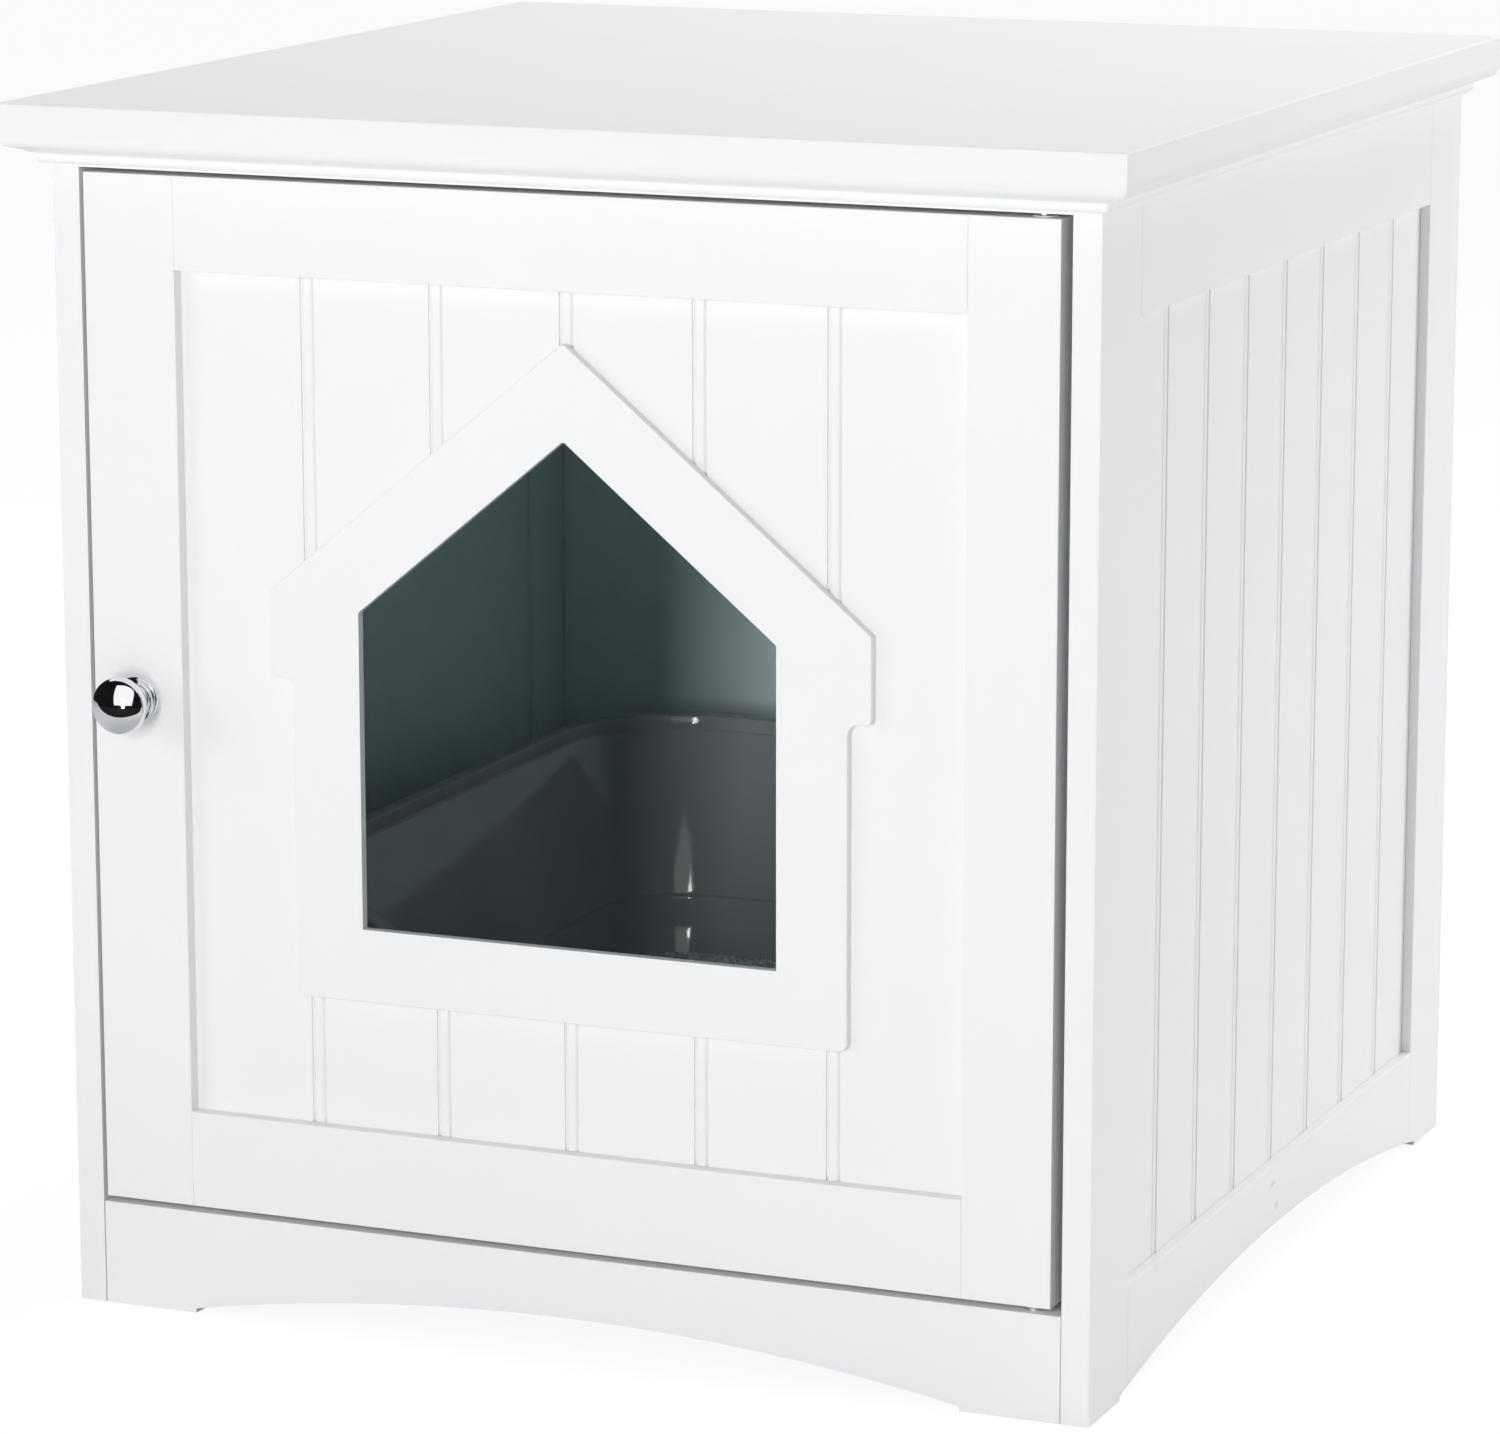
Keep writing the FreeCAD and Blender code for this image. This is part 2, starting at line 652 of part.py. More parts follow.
def foot_pad(end):
    """A pad under a stile's foot. end is -1 in front and 1 behind."""
    outer = MIDDLE_Y + end * BODY_DEPTH / 2
    inner = MIDDLE_Y + end * SIDE_ARCH_HALF_SPAN
    front, back = min(outer, inner), max(outer, inner)
    return block(-SIDE_OUT, -SIDE_IN, front, back, 0, FOOT_PAD_HEIGHT)


def side_stile(end):
    """A full-height stile, grooved on its inner edge. end is -1 in front and 1 behind."""
    outer = MIDDLE_Y + end * BODY_DEPTH / 2
    inner = outer - end * SIDE_STILE_WIDTH
    deep = inner + end * GROOVE_DEPTH
    stile = side_board(min(outer, inner), max(outer, inner), 0, BODY_HEIGHT)
    groove = side_groove(min(inner, deep), max(inner, deep), 0, BODY_HEIGHT)
    return drilled(stile, [groove, side_arch(), foot_pad(end)] + joint_holes() + cleat_holes())


def side_rail(z0, z1, groove_z0, groove_z1):
    """A rail with a tongue at each end and a groove for the panel's edge."""
    rail = side_board(SIDE_RAIL_FRONT, SIDE_RAIL_BACK, z0, z1)
    tongue_front = SIDE_RAIL_FRONT - TONGUE_LENGTH
    tongue_back = SIDE_RAIL_BACK + TONGUE_LENGTH
    tongues = [
        block(SIDE_PANEL_OUT, SIDE_PANEL_IN, tongue_front, SIDE_RAIL_FRONT, z0, z1),
        block(SIDE_PANEL_OUT, SIDE_PANEL_IN, SIDE_RAIL_BACK, tongue_back, z0, z1),
    ]
    groove = side_groove(tongue_front, tongue_back, groove_z0, groove_z1)
    holes = [groove, side_arch()] + joint_holes() + cleat_holes()
    return drilled(rail.fuse(tongues), holes)


def side_top_rail():
    """The rail under the top board."""
    return side_rail(SIDE_PANEL_HIGH, BODY_HEIGHT, SIDE_PANEL_HIGH, SIDE_PANEL_HIGH + GROOVE_DEPTH)


def side_bottom_rail():
    """The arched rail near the floor."""
    return side_rail(0, SIDE_PANEL_LOW, SIDE_PANEL_LOW - GROOVE_DEPTH, SIDE_PANEL_LOW)


def side_panel():
    """The beaded panel that floats in the side frame's grooves."""
    low = SIDE_PANEL_LOW - TONGUE_LENGTH
    high = SIDE_PANEL_HIGH + TONGUE_LENGTH
    front = SIDE_RAIL_FRONT - TONGUE_LENGTH
    back = SIDE_RAIL_BACK + TONGUE_LENGTH
    panel = block(SIDE_PANEL_OUT, SIDE_PANEL_IN, front, back, low, high)
    middle = V(SIDE_PANEL_OUT, MIDDLE_Y, low)
    quirks = bead_quirks(middle, Y_AXIS, X_AXIS, high - low, SIDE_BOARD_PITCH, SIDE_BEAD_COUNT)
    return panel.cut(quirks)


# ---------------------------------------------------------------- apron, floor and back
def front_apron():
    """The arched board under the door, with the seat of the lower pivot pin."""
    apron = block(-BOARD_END, BOARD_END, FRONT, APRON_BACK, 0, APRON_HEIGHT)
    apron = eased(apron, Y_AXIS, FRONT, ARRIS)
    return drilled(apron, [apron_arch(), lower_pivot_seat()] + joint_holes())


def floor_panel():
    """The board that the litter pan stands on."""
    front = APRON_BACK + BOARD_GAP
    back = BACK_IN - BOARD_GAP
    floor = block(-BOARD_END, BOARD_END, front, back, FLOOR_UNDER, FLOOR_TOP)
    return drilled(floor, floor_screw_holes())


def back_panel():
    """The plain board that closes the back."""
    low = BACK_FLOOR_CLEARANCE
    back = block(-BOARD_END, BOARD_END, BACK_IN, BACK, low, BODY_HEIGHT)
    return drilled(back, joint_holes())


CLEAT_FRONT = APRON_BACK + CLEAT_END_SETBACK
CLEAT_BACK = BACK_IN - CLEAT_END_SETBACK
CLEAT_IN = SIDE_IN - CLEAT_WIDTH
CLEAT_LOW = FLOOR_UNDER - CLEAT_HEIGHT


def left_floor_cleat():
    """The strip under the floor on the left side frame."""
    cleat = block(-SIDE_IN, -CLEAT_IN, CLEAT_FRONT, CLEAT_BACK, CLEAT_LOW, FLOOR_UNDER)
    return drilled(cleat, cleat_holes() + floor_screw_holes())


def screw_row():
    """How far along Y each screw of a cleat lies."""
    first = CLEAT_FRONT + CLEAT_SCREW_END_DISTANCE
    last = CLEAT_BACK - CLEAT_SCREW_END_DISTANCE
    gap = (last - first) / (CLEAT_SCREW_COUNT - 1)
    return [first + i * gap for i in range(CLEAT_SCREW_COUNT)]


def cleat_screw_places():
    """Screws through each cleat into its side frame."""
    z = CLEAT_LOW + CLEAT_HEIGHT / 2
    return [
        (V(side * CLEAT_IN, y, z), X_AXIS * side, CLEAT_SCREW_LENGTH)
        for side in (-1, 1)
        for y in screw_row()
    ]


def floor_screw_places():
    """Screws from below through each cleat into the floor, between the others."""
    x = SIDE_IN - CLEAT_WIDTH / 2
    row = screw_row()
    between = [(a + b) / 2 for a, b in zip(row, row[1:])]
    return [
        (V(side * x, y, CLEAT_LOW), Z_AXIS, FLOOR_SCREW_LENGTH)
        for side in (-1, 1)
        for y in between
    ]


def cleat_holes():
    """Holes for the screws through the cleats."""
    return [wood_screw_hole(*place) for place in cleat_screw_places()]


def floor_screw_holes():
    """Holes for the screws into the floor."""
    return [wood_screw_hole(*place) for place in floor_screw_places()]


# ---------------------------------------------------------------- door pivots
def pivot_seat(face, away):
    """The blind hole that holds a pin. away points from the board towards the door."""
    return rod(PIVOT_DIAMETER, face - away * PIVOT_SEAT_DEPTH, face)


def pivot_pin(face, away, gap):
    """A pin with a collar that rests on the board's face."""
    tip = face + away * (gap + PIVOT_REACH)
    pin = rod(PIVOT_DIAMETER, face - away * PIVOT_SEAT_DEPTH, tip)
    collar = rod(PIVOT_COLLAR_DIAMETER, face, face + away * PIVOT_COLLAR_THICKNESS)
    return pin.fuse(collar).removeSplitter()


def bush_room(edge, into):
    """The blind hole for a bush in the door's edge."""
    return rod(BUSH_DIAMETER, edge, edge + into * BUSH_LENGTH)


def pivot_bush(edge, into):
    """A flanged bush in the door's edge, with a blind bore for the pin."""
    barrel = bush_room(edge, into)
    flange = rod(BUSH_FLANGE_DIAMETER, edge - into * BUSH_FLANGE_THICKNESS, edge)
    bore_end = edge + into * (PIVOT_REACH + PIVOT_PLAY)
    bore = rod(PIVOT_DIAMETER + 2 * PIVOT_PLAY, edge - into * BUSH_FLANGE_THICKNESS, bore_end)
    return barrel.fuse(flange).cut(bore)


LOWER_PIVOT = V(PIVOT_X, PIVOT_Y, APRON_HEIGHT)
UPPER_PIVOT = V(PIVOT_X, PIVOT_Y, BODY_HEIGHT)
DOOR_LOW_PIVOT = V(PIVOT_X, PIVOT_Y, DOOR_LOW)
DOOR_HIGH_PIVOT = V(PIVOT_X, PIVOT_Y, DOOR_HIGH)


def lower_pivot_seat():
    """The lower pin's hole in the apron."""
    return pivot_seat(LOWER_PIVOT, Z_AXIS)


def upper_pivot_seat():
    """The upper pin's hole in the top board."""
    return pivot_seat(UPPER_PIVOT, -Z_AXIS)


# ---------------------------------------------------------------- door
DOOR_PANEL_BACK = DOOR_PANEL_FACE + DOOR_PANEL_THICKNESS


def door_board(x0, x1, z0, z1):
    """A board of the door's full thickness, its front edges eased."""
    board = block(x0, x1, FRONT, DOOR_BACK, z0, z1)
    return eased(board, Y_AXIS, FRONT, ARRIS)


def door_groove(x0, x1, z0, z1):
    """Room for a tongue or the panel's edge in the door's frame."""
    front = DOOR_PANEL_FACE - GROOVE_PLAY
    back = DOOR_PANEL_BACK + GROOVE_PLAY
    return block(x0, x1, front, back, z0, z1)


def door_latch_stile():
    """The stile that carries the knob and the strike plate."""
    stile = door_board(DOOR_LEFT, RECESS_LEFT, DOOR_LOW, DOOR_HIGH)
    groove = door_groove(RECESS_LEFT - GROOVE_DEPTH, RECESS_LEFT, DOOR_LOW, DOOR_HIGH)
    return drilled(stile, [groove, knob_screw_hole(), strike_screw_hole()])


def door_hinge_stile():
    """The stile that turns on the pivots."""
    stile = door_board(RECESS_RIGHT, DOOR_RIGHT, DOOR_LOW, DOOR_HIGH)
    groove = door_groove(RECESS_RIGHT, RECESS_RIGHT + GROOVE_DEPTH, DOOR_LOW, DOOR_HIGH)
    rooms = [bush_room(DOOR_LOW_PIVOT, Z_AXIS), bush_room(DOOR_HIGH_PIVOT, -Z_AXIS)]
    return drilled(stile, [groove] + rooms)


def door_rail(z0, z1, groove_z0, groove_z1):
    """A rail between the stiles with a tongue at each end and a groove for the panel."""
    rail = door_board(RECESS_LEFT, RECESS_RIGHT, z0, z1)
    tongue_left = RECESS_LEFT - TONGUE_LENGTH
    tongue_right = RECESS_RIGHT + TONGUE_LENGTH
    tongues = [
        block(tongue_left, RECESS_LEFT, DOOR_PANEL_FACE, DOOR_PANEL_BACK, z0, z1),
        block(RECESS_RIGHT, tongue_right, DOOR_PANEL_FACE, DOOR_PANEL_BACK, z0, z1),
    ]
    groove = door_groove(tongue_left, tongue_right, groove_z0, groove_z1)
    return drilled(rail.fuse(tongues), [groove, strike_screw_hole()])


def door_top_rail():
    """The rail at the top of the door."""
    return door_rail(RECESS_HIGH, DOOR_HIGH, RECESS_HIGH, RECESS_HIGH + GROOVE_DEPTH)


def door_bottom_rail():
    """The rail at the bottom of the door."""
    return door_rail(DOOR_LOW, RECESS_LOW, RECESS_LOW - GROOVE_DEPTH, RECESS_LOW)


def entrance(margin, y0, y1):
    """The house-shaped entrance, widened all round by margin, as a solid along Y."""
    pitch = (ENTRANCE_APEX_Z - ENTRANCE_EAVES_Z) / ENTRANCE_HALF_WIDTH
    lift = margin * math.sqrt(1 + pitch**2)
    half = ENTRANCE_HALF_WIDTH + margin
    low = ENTRANCE_BOTTOM_Z - margin
    eaves = ENTRANCE_EAVES_Z + lift - pitch * margin
    outline = rounded_outline(
        [
            (V(RECESS_MIDDLE, y0, ENTRANCE_APEX_Z + lift), ENTRANCE_CORNER),
            (V(RECESS_MIDDLE + half, y0, eaves), ENTRANCE_CORNER),
            (V(RECESS_MIDDLE + half, y0, low), 0),
            (V(RECESS_MIDDLE - half, y0, low), 0),
            (V(RECESS_MIDDLE - half, y0, eaves), ENTRANCE_CORNER),
        ]
    )
    return Part.Face(outline).extrude(Y_AXIS * (y1 - y0))


def door_panel():
    """The beaded panel that floats in the door's frame, cut out behind the entrance."""
    left = RECESS_LEFT - TONGUE_LENGTH
    right = RECESS_RIGHT + TONGUE_LENGTH
    low = RECESS_LOW - TONGUE_LENGTH
    high = RECESS_HIGH + TONGUE_LENGTH
    panel = block(left, right, DOOR_PANEL_FACE, DOOR_PANEL_BACK, low, high)
    middle = V(RECESS_MIDDLE, DOOR_PANEL_FACE, low)
    quirks = bead_quirks(middle, X_AXIS, Y_AXIS, high - low, DOOR_BOARD_PITCH, DOOR_BEAD_COUNT)
    return panel.cut(quirks + [entrance(PANEL_HOLE_MARGIN, DOOR_PANEL_FACE, DOOR_PANEL_BACK)])


def house_plate():
    """The house-shaped plate glued to the panel's face, with the entrance through it."""
    face = DOOR_PANEL_FACE - PLATE_THICKNESS
    eaves = PLATE_EAVES_HALF_WIDTH
    wall = PLATE_WALL_HALF_WIDTH
    right = [
        (V(RECESS_MIDDLE + eaves, face, PLATE_ROOF_FOOT_Z), PLATE_EAVES_CORNER),
        (V(RECESS_MIDDLE + eaves, face, PLATE_EAVES_Z), PLATE_EAVES_CORNER),
        (V(RECESS_MIDDLE + wall, face, PLATE_EAVES_Z), PLATE_UNDER_EAVES_RADIUS),
        (V(RECESS_MIDDLE + wall, face, PLATE_BOTTOM_Z), PLATE_BOTTOM_CORNER),
    ]
    left = [(V(2 * RECESS_MIDDLE - point.x, point.y, point.z), r) for point, r in reversed(right)]
    apex = [(V(RECESS_MIDDLE, face, PLATE_APEX_Z), PLATE_EAVES_CORNER)]
    plate = Part.Face(rounded_outline(apex + right + left)).extrude(Y_AXIS * PLATE_THICKNESS)
    plate = eased(plate, Y_AXIS, face, PLATE_ARRIS)
    return plate.cut(entrance(0.0, face, DOOR_PANEL_FACE))


# ---------------------------------------------------------------- knob
KNOB_FOOT = V(KNOB_X, FRONT, KNOB_Z)
KNOB_SCREW_BACK = V(KNOB_X, DOOR_BACK, KNOB_Z)
KNOB_SCREW_TIP = V(KNOB_X, FRONT - ROSETTE_THICKNESS - KNOB_SCREW_GRIP, KNOB_Z)


def knob_screw_hole():
    """The hole for the knob's screw through the stile, rosette and knob."""
    return rod(KNOB_SCREW_DIAMETER + 2 * KNOB_SCREW_PLAY, KNOB_SCREW_BACK, KNOB_SCREW_TIP)


def knob_screw():
    """The screw that holds the knob, with a slotted head on the door's back."""
    shank = rod(KNOB_SCREW_DIAMETER, KNOB_SCREW_BACK, KNOB_SCREW_TIP)
    outer = KNOB_SCREW_BACK + Y_AXIS * KNOB_SCREW_HEAD_HEIGHT
    head = rod(KNOB_SCREW_HEAD_DIAMETER, KNOB_SCREW_BACK, outer)
    half = KNOB_SCREW_HEAD_DIAMETER / 2
    slot = block(
        KNOB_X - half,
        KNOB_X + half,
        outer.y - KNOB_SCREW_SLOT_DEPTH,
        outer.y,
        KNOB_Z - KNOB_SCREW_SLOT_WIDTH / 2,
        KNOB_Z + KNOB_SCREW_SLOT_WIDTH / 2,
    )
    return shank.fuse(head).removeSplitter().cut(slot)


def rosette():
    """The stepped round plate between knob and stile, its rims rounded."""
    base_end = KNOB_FOOT - Y_AXIS * ROSETTE_BASE
    base = rod(ROSETTE_DIAMETER, KNOB_FOOT, base_end)
    base = base.makeFillet(ROSETTE_EDGE_ROUND, [rim(base, base_end.y)])
    step_end = KNOB_FOOT - Y_AXIS * ROSETTE_THICKNESS
    step = rod(ROSETTE_STEP_DIAMETER, base_end, step_end)
    step = step.makeFillet(ROSETTE_EDGE_ROUND, [rim(step, step_end.y)])
    return base.fuse(step).cut(knob_screw_hole())


def rim(shape, y):
    """The round edge of a turned shape that lies at y."""
    for edge in shape.Edges:
        if edge.BoundBox.YLength < 1e-6 and abs(edge.BoundBox.YMin - y) < 1e-6:
            return edge
    return None


def knob_dome(radius, brim):
    """The head's front line from brim to tip: a small arc that runs into a flatter one."""
    edge = KNOB_HEAD_EDGE_RADIUS
    rise = KNOB_HEAD_DOME
    reach = radius - edge
    large = (reach**2 + rise**2 - edge**2) / (2 * (rise - edge))
    fall = large - rise
    slant = math.atan2(fall, reach)

    def around(centre_x, centre_y, r, angle):
        return V(centre_x + r * math.cos(angle), centre_y - r * math.sin(angle), 0)

    meeting = around(reach, brim, edge, slant)
    brim_middle = around(reach, brim, edge, slant / 2)
    top_middle = around(0, brim + fall, large, (slant + math.pi / 2) / 2)
    tip = V(0, brim - rise, 0)
    return [
        Part.Arc(V(radius, brim, 0), brim_middle, meeting).toShape(),
        Part.Arc(meeting, top_middle, tip).toShape(),
    ]


def knob():
    """The turned knob: a neck that flares into a flattened mushroom head, bored behind."""
    radius = KNOB_HEAD_DIAMETER / 2
    neck = KNOB_NECK_DIAMETER / 2
    bore = KNOB_SCREW_DIAMETER / 2 + KNOB_SCREW_PLAY
    bore_end = -ROSETTE_THICKNESS - KNOB_SCREW_GRIP - KNOB_SCREW_PLAY
    brim = KNOB_HEAD_DOME - KNOB_REACH
    neck_end = brim + KNOB_HEAD_BACK
    turn = math.sqrt(0.5)
    under = [
        V(neck, neck_end, 0),
        V(neck + (radius - neck) * turn, neck_end - KNOB_HEAD_BACK * (1 - turn), 0),
        V(radius, brim, 0),
    ]
    corners = [
        under[0],
        V(neck, -ROSETTE_THICKNESS, 0),
        V(bore, -ROSETTE_THICKNESS, 0),
        V(bore, bore_end, 0),
        V(0, bore_end, 0),
        V(0, -KNOB_REACH, 0),
    ]
    edges = knob_dome(radius, brim) + [Part.Arc(*under).toShape()]
    edges += [Part.makeLine(a, b) for a, b in zip(corners, corners[1:])]
    profile = Part.Face(Part.Wire(Part.__sortEdges__(edges)))
    turned = profile.revolve(V(0, 0, 0), Y_AXIS, 360)
    turned.translate(KNOB_FOOT)
    return turned


# ---------------------------------------------------------------- magnetic catch
CATCH_X = DOOR_LEFT + STRIKE_EDGE_DISTANCE
CATCH_Z = BODY_HEIGHT - CATCH_CASE_HEIGHT / 2
POLE_FRONT = DOOR_BACK + STRIKE_THICKNESS + CLOSED_GAP
CATCH_FRONT = POLE_FRONT + POLE_PROUD
POLE_STACK = MAGNET_HEIGHT + 2 * POLE_THICKNESS


def catch_slot():
    """The slot in the catch's case for its poles and magnet, open in front."""
    half_x = POLE_LENGTH / 2 + CATCH_PLAY
    half_z = POLE_STACK / 2 + CATCH_PLAY
    back = POLE_FRONT + POLE_DEPTH + CATCH_PLAY
    left, right = CATCH_X - half_x, CATCH_X + half_x
    return block(left, right, CATCH_FRONT, back, CATCH_Z - half_z, CATCH_Z + half_z)


def catch_case():
    """The catch's case with a thin wing at each end for its screws."""
    half = CATCH_CASE_LENGTH / 2
    wing = half + CATCH_WING_LENGTH
    back = CATCH_FRONT + CATCH_CASE_DEPTH
    low = BODY_HEIGHT - CATCH_CASE_HEIGHT
    wing_low = BODY_HEIGHT - CATCH_WING_THICKNESS
    case = block(CATCH_X - half, CATCH_X + half, CATCH_FRONT, back, low, BODY_HEIGHT)
    wings = block(CATCH_X - wing, CATCH_X + wing, CATCH_FRONT, back, wing_low, BODY_HEIGHT)
    holes = [wood_screw_hole(*place) for place in catch_screw_places()]
    return drilled(case.fuse(wings).removeSplitter(), [catch_slot()] + holes)


def catch_screw_places():
    """The two screws that hold the catch to the top board."""
    reach = (CATCH_CASE_LENGTH + CATCH_WING_LENGTH) / 2
    y = CATCH_FRONT + CATCH_CASE_DEPTH / 2
    z = BODY_HEIGHT - CATCH_WING_THICKNESS
    return [(V(CATCH_X + side * reach, y, z), Z_AXIS, CATCH_SCREW_LENGTH) for side in (-1, 1)]


def catch_poles():
    """The two steel plates that carry the magnet's pull to the strike plate."""
    plates = []
    for low in (CATCH_Z - POLE_STACK / 2, CATCH_Z + MAGNET_HEIGHT / 2):
        half = POLE_LENGTH / 2
        back = POLE_FRONT + POLE_DEPTH
        plates.append(
            block(CATCH_X - half, CATCH_X + half, POLE_FRONT, back, low, low + POLE_THICKNESS)
        )
    return plates


def catch_magnet():
    """The magnet between the two plates."""
    half_x = POLE_LENGTH / 2
    half_z = MAGNET_HEIGHT / 2
    front = POLE_FRONT + MAGNET_SETBACK
    back = POLE_FRONT + POLE_DEPTH
    return block(CATCH_X - half_x, CATCH_X + half_x, front, back, CATCH_Z - half_z, CATCH_Z + half_z)


def strike_plate():
    """The steel plate on the door's back that meets the catch."""
    half_x = STRIKE_LENGTH / 2
    half_z = STRIKE_WIDTH / 2
    outer = DOOR_BACK + STRIKE_THICKNESS
    left, right = CATCH_X - half_x, CATCH_X + half_x
    plate = block(left, right, DOOR_BACK, outer, CATCH_Z - half_z, CATCH_Z + half_z)
    return plate.cut(strike_screw_hole())


def strike_screw_place():
    """The screw through the middle of the strike plate."""
    return V(CATCH_X, DOOR_BACK + STRIKE_THICKNESS, CATCH_Z), -Y_AXIS, STRIKE_SCREW_LENGTH


def strike_screw_hole():
    """The hole for the strike plate's screw."""
    return wood_screw_hole(*strike_screw_place())


# ---------------------------------------------------------------- litter pan
def pan_outline(inset, z):
    """The pan's rounded plan at a height, drawn in from the rim's outer edge by inset."""
    half_x = PAN_WIDTH / 2 - inset
    half_y = PAN_LENGTH / 2 - inset
    radius = PAN_CORNER - inset
    front, back = PAN_MIDDLE_Y - half_y, PAN_MIDDLE_Y + half_y
    return rounded_outline(
        [
            (V(half_x, front, z), radius),
            (V(half_x, back, z), radius),
            (V(-half_x, back, z), radius),
            (V(-half_x, front, z), radius),
        ]
    )


def pan_sections(wall):
    """Inset and height of each ring of the pan's side, from its foot to its rim."""
    rim_in = PAN_RIM_WIDTH
    step_in = rim_in + PAN_DRAFT_ABOVE_STEP
    below_in = step_in + PAN_STEP_WIDTH
    slope_in = below_in + PAN_DRAFT_BELOW_STEP
    base_in = slope_in + PAN_SLOPE_RUN
    step_top = PAN_Z + PAN_STEP_HEIGHT
    return [
        (base_in + PAN_BASE_RUN + wall, PAN_Z + wall),
        (base_in + wall, PAN_Z + wall + PAN_BASE_RISE),
        (slope_in + wall, PAN_Z + PAN_SLOPE_HEIGHT),
        (below_in + wall, step_top - PAN_STEP_DROP),
        (step_in + wall, step_top),
        (rim_in + wall, PAN_LEDGE_Z),
    ]


def pan_body(sections):
    """A solid through rings of the pan's side."""
    tiers = []
    for (inset0, z0), (inset1, z1) in zip(sections, sections[1:]):
        rings = [pan_outline(inset0, z0), pan_outline(inset1, z1)]
        tiers.append(Part.makeLoft(rings, True, True))
    return tiers[0].fuse(tiers[1:]).removeSplitter()


def dip_line(z_rim):
    """The front edge's line from left to right: level, down, level, up and level."""
    run, drop = PAN_DIP_RUN / 2, PAN_DIP_DEPTH / 2
    turn = 2 * math.atan2(drop, run)
    radius = run / math.sin(turn)
    sag = radius - radius * math.cos(turn / 2)
    reach = radius * math.sin(turn / 2)
    edges = []
    for side in (-1, 1):
        low_x = side * PAN_DIP_HALF_WIDTH
        mid_x = side * (PAN_DIP_HALF_WIDTH + run)
        high_x = side * (PAN_DIP_HALF_WIDTH + 2 * run)
        z_low, z_mid = z_rim - PAN_DIP_DEPTH, z_rim - drop
        low, middle, high = V(low_x, 0, z_low), V(mid_x, 0, z_mid), V(high_x, 0, z_rim)
        lower = V(low_x + side * reach, 0, z_low + sag)
        upper = V(high_x - side * reach, 0, z_rim - sag)
        edges.append(Part.Arc(low, lower, middle).toShape())
        edges.append(Part.Arc(middle, upper, high).toShape())
        edges.append(Part.makeLine(high, V(side * PAN_WIDTH, 0, z_rim)))
    low = z_rim - PAN_DIP_DEPTH
    edges.append(Part.makeLine(V(-PAN_DIP_HALF_WIDTH, 0, low), V(PAN_DIP_HALF_WIDTH, 0, low)))
    return edges


def above_dip(z_rim):
    """All the room above the lowered front edge, in the pan's front half."""
    top = PAN_Z + 2 * PAN_HEIGHT
    far = PAN_WIDTH
    edges = dip_line(z_rim) + [
        Part.makeLine(V(-far, 0, z_rim), V(-far, 0, top)),
        Part.makeLine(V(-far, 0, top), V(far, 0, top)),
        Part.makeLine(V(far, 0, top), V(far, 0, z_rim)),
    ]
    room = Part.Face(Part.Wire(Part.__sortEdges__(edges))).extrude(Y_AXIS * PAN_LENGTH)
    room.translate(Y_AXIS * (PAN_MIDDLE_Y - PAN_LENGTH))
    return room


def pan_rim(cavity):
    """The lip round the pan's edge, which follows the lowered front and meets the wall."""
    under = PAN_RIM_Z - PAN_RIM_HEIGHT
    low = under - PAN_DIP_DEPTH
    depth = Z_AXIS * (PAN_RIM_Z - low)
    outer = Part.Face(pan_outline(0.0, low)).extrude(depth)
    inner_inset = PAN_RIM_WIDTH + PAN_RIM_OVERLAP
    inner = Part.Face(pan_outline(inner_inset, PAN_LEDGE_Z)).extrude(Z_AXIS * PAN_LEDGE_DEPTH)
    ring = outer.cut([inner, cavity])
    far_front, far_back = PAN_MIDDLE_Y - PAN_LENGTH, PAN_MIDDLE_Y + PAN_LENGTH
    front = block(-PAN_WIDTH, PAN_WIDTH, far_front, PAN_MIDDLE_Y, low, PAN_RIM_Z)
    back = block(-PAN_WIDTH, PAN_WIDTH, PAN_MIDDLE_Y, far_back, under, PAN_RIM_Z)
    lip = front.common(above_dip(under)).cut(above_dip(PAN_RIM_Z))
    return ring.common(lip.fuse(back))


def litter_pan():
    """A deep pan with a step in its sloping walls, a ledge inside its lip and a low front."""
    outer = pan_sections(0.0)
    foot = [(outer[0][0], PAN_Z)] + outer[1:]
    cavity = pan_body(pan_sections(PAN_WALL))
    shell = pan_body(foot).cut([cavity, above_dip(PAN_LEDGE_Z)])
    return shell.fuse(pan_rim(cavity)).removeSplitter()


def litter_bed():
    """The litter that covers the pan's floor."""
    inner = pan_sections(PAN_WALL + LITTER_PLAY)
    low = inner[0][1]
    fill = pan_body(inner)
    level = block(
        -PAN_WIDTH, PAN_WIDTH, -PAN_LENGTH, PAN_LENGTH, low, low + LITTER_DEPTH
    )
    return fill.common(level)


# ---------------------------------------------------------------- nodes
def cabinet_nodes():
    """The fixed box, by node name."""
    left = {
        "front_stile": side_stile(-1),
        "rear_stile": side_stile(1),
        "top_rail": side_top_rail(),
        "bottom_rail": side_bottom_rail(),
        "beadboard": side_panel(),
        "floor_cleat": left_floor_cleat(),
    }
    pads = [foot_pad(end) for end in (-1, 1)]
    nodes = {}
    for name, shape in left.items():
        nodes["left_" + name] = shape
        nodes["right_" + name] = mirrored(shape)
    nodes["foot_pads"] = group(pads + [mirrored(pad) for pad in pads])
    nodes["top_board"] = top_board()
    nodes["front_apron"] = front_apron()
    nodes["floor_panel"] = floor_panel()
    nodes["back_panel"] = back_panel()
    return nodes


